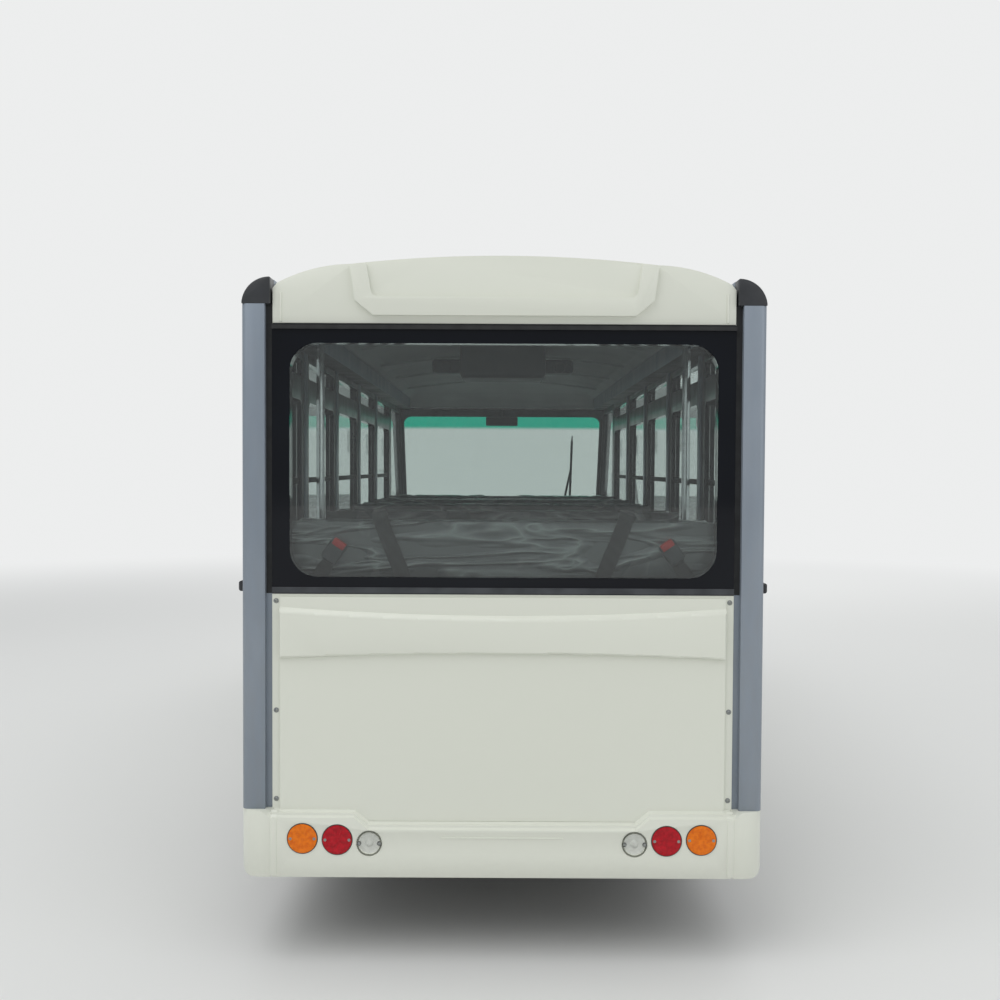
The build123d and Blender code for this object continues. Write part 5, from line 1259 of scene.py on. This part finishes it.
@dataclass
class Cabin:
    """Headliner ribs, post linings, the air duct with its vents, controls and pedals."""

    ceiling: float = 2.004

    def ribs(self) -> None:
        """Cross ribs that carry the headliner, bowed with the roof."""
        parts = []
        for y in BAYS[1:]:
            for x0, x1, z0, z1 in ((-0.60, -0.30, 1.945, 1.984), (-0.30, 0.0, 1.984, self.ceiling),
                                   (0.0, 0.30, self.ceiling, 1.984), (0.30, 0.60, 1.984, 1.945)):
                parts.append(self.bar((x0, y, z0 - 0.012), (x1, y, z1 - 0.012), 0.030, 0.012))
        fit("headliner_ribs", parts, HEADLINER)

    def bar(self, start: Point, end: Point, width: float, thick: float) -> Piece:
        """A flat bar between two points across the cabin."""
        first, last = Vector(start), Vector(end)
        long = (last - first).length
        piece = block("bar", (-long / 2 - 0.001, -width / 2, -thick / 2), (long / 2 + 0.001, width / 2, thick / 2),
                      0.003)
        angle = math.atan2(last.z - first.z, last.x - first.x)
        piece.data.transform(Matrix.Translation((first + last) / 2) @ Matrix.Rotation(-angle, 4, "Y"))
        return piece

    def duct(self) -> None:
        """The flat air duct across the ceiling unit, with round vents along its rear."""
        y = BAYS[3] - 0.170
        duct = block("duct", (-0.335, y - 0.060, 1.880), (0.335, y + 0.060, 1.945), 0.016, 3)
        parts = [duct]
        for x in (-0.27, -0.09, 0.09, 0.27):
            vent = rod("vent", (x, y - 0.058, 1.905), (x, y - 0.072, 1.905), 0.026, 24, 0.003)
            pick(vent, lambda face: face.normal.y < -0.9)
            bpy.ops.mesh.inset(thickness=0.005)
            bpy.ops.mesh.extrude_region_move(TRANSFORM_OT_translate={"value": (0, 0.007, 0)})
            deselect()
            parts.append(vent)
        fit("air_duct", parts, CABIN_ABS)

    def linings(self) -> None:
        """Linings on the inner face of each post, in the frame's pale powder coat: partly the posts' own metal colour,
        partly a painted highlight for the pale upright streaks on the cabin walls.
        """
        parts = []
        for side in SIDES:
            for y in BAYS[1:-1]:
                x = side * 0.7075
                parts.append(block("post", (x - 0.006, y - 0.024, 0.60), (x + 0.0024, y + 0.024, 1.838), 0.003))
        # The pale finish here is partly painted highlight, standing for the upright highlights on the walls.
        fit("post_linings", parts, POWDER_COAT)

    def controls(self) -> None:
        """The dashboard's dials, switches and lever, the pedals under it and the inner mirror."""
        parts, dials = [], []
        for x, radius in ((-0.43, 0.036), (-0.35, 0.040), (-0.27, 0.036)):
            ring = rod("dial", (x, 1.6905, 1.112), (x, 1.686, 1.112), radius, 32, 0.0015)
            pick(ring, lambda face: face.normal.y < -0.9)
            bpy.ops.mesh.inset(thickness=0.004)
            bpy.ops.mesh.extrude_region_move(TRANSFORM_OT_translate={"value": (0, 0.0032, 0)})
            deselect()
            parts.append(ring)
            dials.append(rod("needle", (x, 1.6885, 1.112), (x + 0.018, 1.6885, 1.124), 0.0012, 8))
        for number in range(6):
            x = -0.09 + number * 0.045
            parts.append(block("switch", (x, 1.695, 1.02), (x + 0.034, 1.7085, 1.046), 0.003))
        parts.append(rod("lever", (-0.10, 1.66, 0.94), (0.0, 1.60, 0.985), 0.007, 14, 0.002, 0.010))
        for x, low in ((-0.46, 0.47), (-0.34, 0.45)):
            parts.append(block("pedal", (x, 1.60, low), (x + 0.075, 1.622, low + 0.095), 0.006, 3))
            parts.append(rod("pedal_arm", (x + 0.037, 1.618, low + 0.06), (x + 0.037, 1.78, 0.72), 0.008, 12))
        fit("dash_controls", parts, BLACK_ABS)
        fit("dial_needles", dials, RED_NYLON)
        mirror = block("inner_mirror", (-0.11, 1.862, 1.722), (0.11, 1.882, 1.784), 0.008, 3)
        stem = rod("stem", (0, 1.874, 1.775), (0, 1.925, 1.838), 0.006, 12)
        fit("inner_mirror", [mirror, stem], BLACK_ABS)

    def build(self) -> None:
        """Build the cabin's fittings."""
        self.ribs()
        self.duct()
        self.linings()
        self.controls()
        for node, finish in (("hand_rails", STAINLESS), ("steering_wheel", BLACK_ABS)):
            paint(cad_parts[node], finish)


# Doors


@dataclass
class Doors:
    """Ten hinged doors: painted leaf and window frame, seals, swages, lining, pull, latch and lock."""

    side: float = SIDE
    stile: float = 0.045
    belt: float = 1.085
    over_wheel: tuple[int, ...] = (0, 1)

    def bounds(self, bay: int) -> tuple[float, float]:
        """Rear and front edge of a bay's leaf."""
        return BAYS[bay] + (0.020 if bay else 0.0) + 0.005, BAYS[bay + 1] - 0.025

    def leaf(self, bay: int, side: str) -> None:
        """Round and dress one leaf and paint its glass."""
        number = 5 - bay
        piece = softened(f"door_{side}_{number}", 0.0015, cut=self.belt)
        band: Test = lambda face: face.center.z > self.belt and abs(face.center.x) > PAST_INNER
        inner: Test = lambda face: abs(face.center.x) < PAST_INNER
        metal: Test = lambda face: abs(face.center.x) > PAST_SIDE
        paint(piece, DOOR_PAINT, (FIRED_BAND, band), (WALL_ABS, inner), (BLACK_ABS, metal))
        hand_over(piece, f"door_{side}_{number}")
        paint(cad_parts[f"door_glass_{side}_{number}"], SIDE_GLASS)

    def seals(self, bay: int) -> Piece:
        """Rubber rings on both faces of a door's windows, and the bar between its panes."""
        rear, front = self.bounds(bay)
        u0, u1 = rear + self.stile, front - self.stile
        rings = []
        for v0, v1, radius in ((1.110, 1.665, 0.038), (1.750, 1.808, 0.016)):
            rings.append(rounded_ring("seal", (u0, v0), (u1, v1), radius, 0.009, 0.003, self.side))
            rings.append(rounded_ring("seal", (u0, v0), (u1, v1), radius, 0.007, -0.002, self.side - 0.040))
        rail = block("rail", (self.side - 0.028, u0 - 0.002, 1.372), (self.side - 0.012, u1 + 0.002, 1.392), 0.003)
        return joined("seals", rings + [rail])

    def skin(self, bay: int) -> Piece:
        """The pressed swage under a door's window, and the raised field below it."""
        rear, front = self.bounds(bay)
        parts = [block("swage", (self.side - 0.001, rear + 0.012, 0.905),
                       (self.side + 0.005, front - 0.012, 0.985), 0.0045, 3)]
        if bay not in self.over_wheel:
            parts.append(block("lower", (self.side - 0.001, rear + 0.012, 0.405),
                               (self.side + 0.004, front - 0.012, 0.825), 0.0035, 3))
        return joined("skin", parts)

    def inner(self, bay: int) -> Piece:
        """The lining of a door's inner face, with a pull and a latch handle."""
        rear, front = self.bounds(bay)
        x = self.side - 0.040
        low = 0.70 if bay in self.over_wheel else 0.42
        parts = [block("lining", (x - 0.007, rear + 0.03, low), (x + 0.001, front - 0.03, 1.04), 0.004, 3)]
        middle = (rear + front) / 2
        parts.append(block("pull", (x - 0.040, middle - 0.10, 0.965), (x - 0.022, middle + 0.10, 0.985), 0.006, 3))
        for end in (-0.085, 0.085):
            parts.append(block("foot", (x - 0.030, middle + end - 0.008, 0.967),
                               (x - 0.004, middle + end + 0.008, 0.983), 0.003))
        parts.append(block("latch", (x - 0.020, rear + 0.05, 1.055), (x + 0.001, rear + 0.13, 1.080), 0.005, 3))
        return joined("inner", parts)

    def lock(self, bay: int) -> Piece:
        """The lock barrel under the handle, and screws in the hinge leaves."""
        rear, front = self.bounds(bay)
        parts = [rod("barrel", (self.side, rear + 0.052, 1.038),
                     (self.side + 0.005, rear + 0.052, 1.038), 0.011, 24, 0.001)]
        for z in (0.800, 1.560):
            for drop in (-0.018, 0.018):
                parts.append(rod("screw", (self.side + 0.0035, front - 0.026, z + drop),
                                 (self.side + 0.0058, front - 0.026, z + drop), 0.005, 14, 0.001))
        return joined("lock", parts)

    def build(self) -> None:
        """Build each bay's door on the right and mirror it to the left."""
        makers = (("seals", self.seals, RUBBER, "black_moulding"), ("skin", self.skin, DOOR_PAINT, "door_paint"),
                  ("lining", self.inner, WALL_ABS, "cabin_plastic"), ("lock", self.lock, ZINC, "silver_grey"))
        for bay in range(5):
            number = 5 - bay
            for side in ("right", "left"):
                self.leaf(bay, side)
            for part, maker, finish, slot in makers:
                right = maker(bay)
                right.name = right.data.name = f"door_{part}_right_{number}"
                left = twin(right, f"door_{part}_left_{number}")
                hand_over(right, f"door_right_{number}", finish)
                hand_over(left, f"door_left_{number}", finish)


# Wheels


@dataclass
class Wheels:
    """Tyres with moulded tread, and what is bolted to the pressed rims."""

    x: float = 0.655
    high: float = 0.2805
    front: float = FRONT_AXLE
    rear: float = REAR_AXLE
    steps: int = 90

    def tyre(self) -> Piece:
        """One tyre on the X axis: a spun section, with grooves across its shoulders and round its tread."""
        half = [(0.0, 0.2795), (0.0125, 0.2795), (0.0150, 0.2725), (0.0190, 0.2725), (0.0215, 0.2790),
                (0.0400, 0.2775), (0.0425, 0.2705), (0.0465, 0.2705), (0.0490, 0.2765), (0.0620, 0.2745),
                (0.0700, 0.2712), (0.0745, 0.2660), (0.0775, 0.2560), (0.0802, 0.2440), (0.0818, 0.2320),
                (0.0822, 0.2220), (0.0808, 0.2190), (0.0802, 0.2100), (0.0760, 0.1960), (0.0690, 0.1850),
                (0.0630, 0.1800), (0.0615, 0.1665)]
        section = [(-x, r) for x, r in reversed(half[1:])] + half
        deselect()
        bpy.ops.mesh.primitive_plane_add(size=0.01)
        piece = settle("tyre")
        piece.data.clear_geometry()
        points = [(x, 0.0, r) for x, r in section]
        piece.data.from_pydata(points, [(i, (i + 1) % len(points)) for i in range(len(points))], [])
        focus(piece)
        bpy.ops.object.mode_set(mode="EDIT")
        bpy.ops.mesh.select_all(action="SELECT")
        bpy.ops.mesh.spin(steps=self.steps, angle=math.tau, center=(0, 0, 0), axis=(1, 0, 0))
        bpy.ops.mesh.select_all(action="SELECT")
        bpy.ops.mesh.remove_doubles(threshold=0.00005)
        bpy.ops.mesh.normals_make_consistent(inside=False)
        deselect()

        def notch(face: Face) -> bool:
            """Whether a face is one of the cross grooves of a shoulder or rib."""
            step = round(math.atan2(face.center.y, face.center.z) / math.tau * self.steps - 0.5)
            across = abs(face.center.x)
            far = math.hypot(face.center.y, face.center.z)
            shoulder = 0.050 < across < 0.0735 and far > 0.266
            rib = 0.0225 < across < 0.0395 and far > 0.272
            return (shoulder and step % 3 == 0) or (rib and step % 3 == 1)
        pick(piece, notch)
        bpy.ops.mesh.extrude_region_shrink_fatten(TRANSFORM_OT_shrink_fatten={"value": -0.005})
        deselect()
        return piece

    def hardware(self) -> Piece:
        """Five wheel nuts on their washers, the hub cap and the valve, on the X axis with the outside to +X."""
        parts = []
        for turn in range(5):
            angle = math.tau * turn / 5
            y, z = 0.050 * math.cos(angle), 0.050 * math.sin(angle)
            parts.append(rod("washer", (0.033, y, z), (0.037, y, z), 0.0115, 20, 0.001))
            parts.append(rod("nut", (0.036, y, z), (0.050, y, z), 0.0098, 6, 0.0015))
            parts.append(rod("stud", (0.045, y, z), (0.055, y, z), 0.0052, 14, 0.001))
        cap = rod("cap", (0.050, 0, 0), (0.062, 0, 0), 0.029, 32, 0.003, 0.024)
        valve = rod("valve", (0.030, 0, 0.125), (0.058, 0, 0.120), 0.004, 12, 0.001)
        return joined("hardware", parts + [cap, valve])

    def build(self) -> None:
        """Put a tyre and its hardware on each of the four wheels."""
        tyre, hardware = self.tyre(), self.hardware()
        for end, y in (("front", self.front), ("rear", self.rear)):
            place = Matrix.Translation((self.x, y, self.high))
            for side, move in (("right", place), ("left", MIRRORED @ place)):
                body = f"wheel_{end}_{side}"
                rubber = twin(tyre, f"tyre_moulded_{end}_{side}", move)
                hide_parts(f"tyre_{end}_{side}")
                hand_over(rubber, body, TYRE, 28)
                hand_over(twin(hardware, f"wheel_nuts_{end}_{side}", move), body, ZINC)
                drum: Test = lambda face, y=y: math.hypot(face.center.y - y, face.center.z - self.high) < 0.1175 \
                    and abs(face.center.x) < self.x + 0.005
                paint(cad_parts[f"rim_{end}_{side}"], WHEEL_SILVER, (FORGED, drum))
        for model in (tyre, hardware):
            bpy.data.objects.remove(model)


# Nose and underside


@dataclass
class Nose:
    """The front's fittings: the outside mirrors' glass and a ring round each lamp."""

    side: float = SIDE

    def mirrors(self) -> None:
        """Silvered glass in both outside mirrors, looking back."""
        panes = []
        for sign in SIDES:
            x = sign * (self.side + 0.052 + 0.075)
            pane = block("pane", (x - 0.060, 2.2045, 1.194), (x + 0.060, 2.2075, 1.398), 0.0012)
            panes.append(pane)
        fit("mirror_glass", panes, MIRROR_COAT)

    def dress(self) -> None:
        """Finishes of the nodes on the front that keep their shape."""
        paint(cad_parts["mirrors_and_wiper"], BLACK_ABS)

    def rings(self) -> None:
        """A dark ring round each headlamp and front indicator."""
        parts = []
        for x, z, radius, y in ((0.545, 0.745, 0.082, 2.530), (0.642, 0.612, 0.034, 2.500)):
            for sign in SIDES:
                parts.append(hoop((sign * x, y, z), radius + 0.002, 0.004, 48))
        fit("headlamp_rings", parts, BLACK_ABS)

    def build(self) -> None:
        """Build the nose's fittings."""
        self.dress()
        self.mirrors()
        self.rings()


@dataclass
class Underside:
    """What a look from below shows: the running gear's finishes, battery straps and spring clamps."""

    axles: tuple[float, float] = (FRONT_AXLE, REAR_AXLE)

    def dress(self) -> None:
        """Finishes of the running gear's nodes."""
        for node in ("chassis_frame", "leaf_springs", "tow_eye"):
            paint(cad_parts[node], CHASSIS_BLACK)
        for node in ("front_axle", "rear_axle", "knuckle_left", "knuckle_right", "tie_rod"):
            paint(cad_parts[node], FORGED)
        paint(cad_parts["battery_pack"], BATTERY_CASE)

    def straps(self) -> None:
        """Steel straps with bolts across the battery's underside."""
        parts = []
        for y in (-0.72, -0.28, 0.16):
            parts.append(block("strap", (-0.303, y - 0.02, 0.2315), (0.303, y + 0.02, 0.2355), 0.0012))
            for x in (-0.28, -0.09, 0.09, 0.28):
                parts.append(rod("bolt", (x, y, 0.232), (x, y, 0.2255), 0.009, 6, 0.0015))
        fit("battery_straps", parts, ZINC)

    def clamps(self) -> None:
        """U-bolts and a plate that clamp each spring to its axle."""
        parts = []
        for axle in self.axles:
            for side in SIDES:
                x = side * 0.385
                parts.append(block("plate", (x - 0.034, axle - 0.042, 0.3400),
                                   (x + 0.034, axle + 0.042, 0.3465), 0.002))
                for dx in (-0.028, 0.028):
                    for dy in (-0.034, 0.034):
                        parts.append(rod("leg", (x + dx, axle + dy, 0.262),
                                         (x + dx, axle + dy, 0.354), 0.005, 12, 0.001))
        fit("spring_clamps", parts, ZINC)

    def build(self) -> None:
        """Build the underside's fittings."""
        self.dress()
        self.straps()
        self.clamps()


def main() -> None:
    logging.basicConfig(level=logging.INFO, format="%(name)s: %(message)s")
    Studio().build()
    Bodywork().build()
    RearFace().build()
    Lamps().build()
    seats = Seats()
    seats.build()
    Belts(seats).build()
    Cabin().build()
    Doors().build()
    Wheels().build()
    Nose().build()
    Underside().build()
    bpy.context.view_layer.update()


if __name__ == "__main__":
    main()
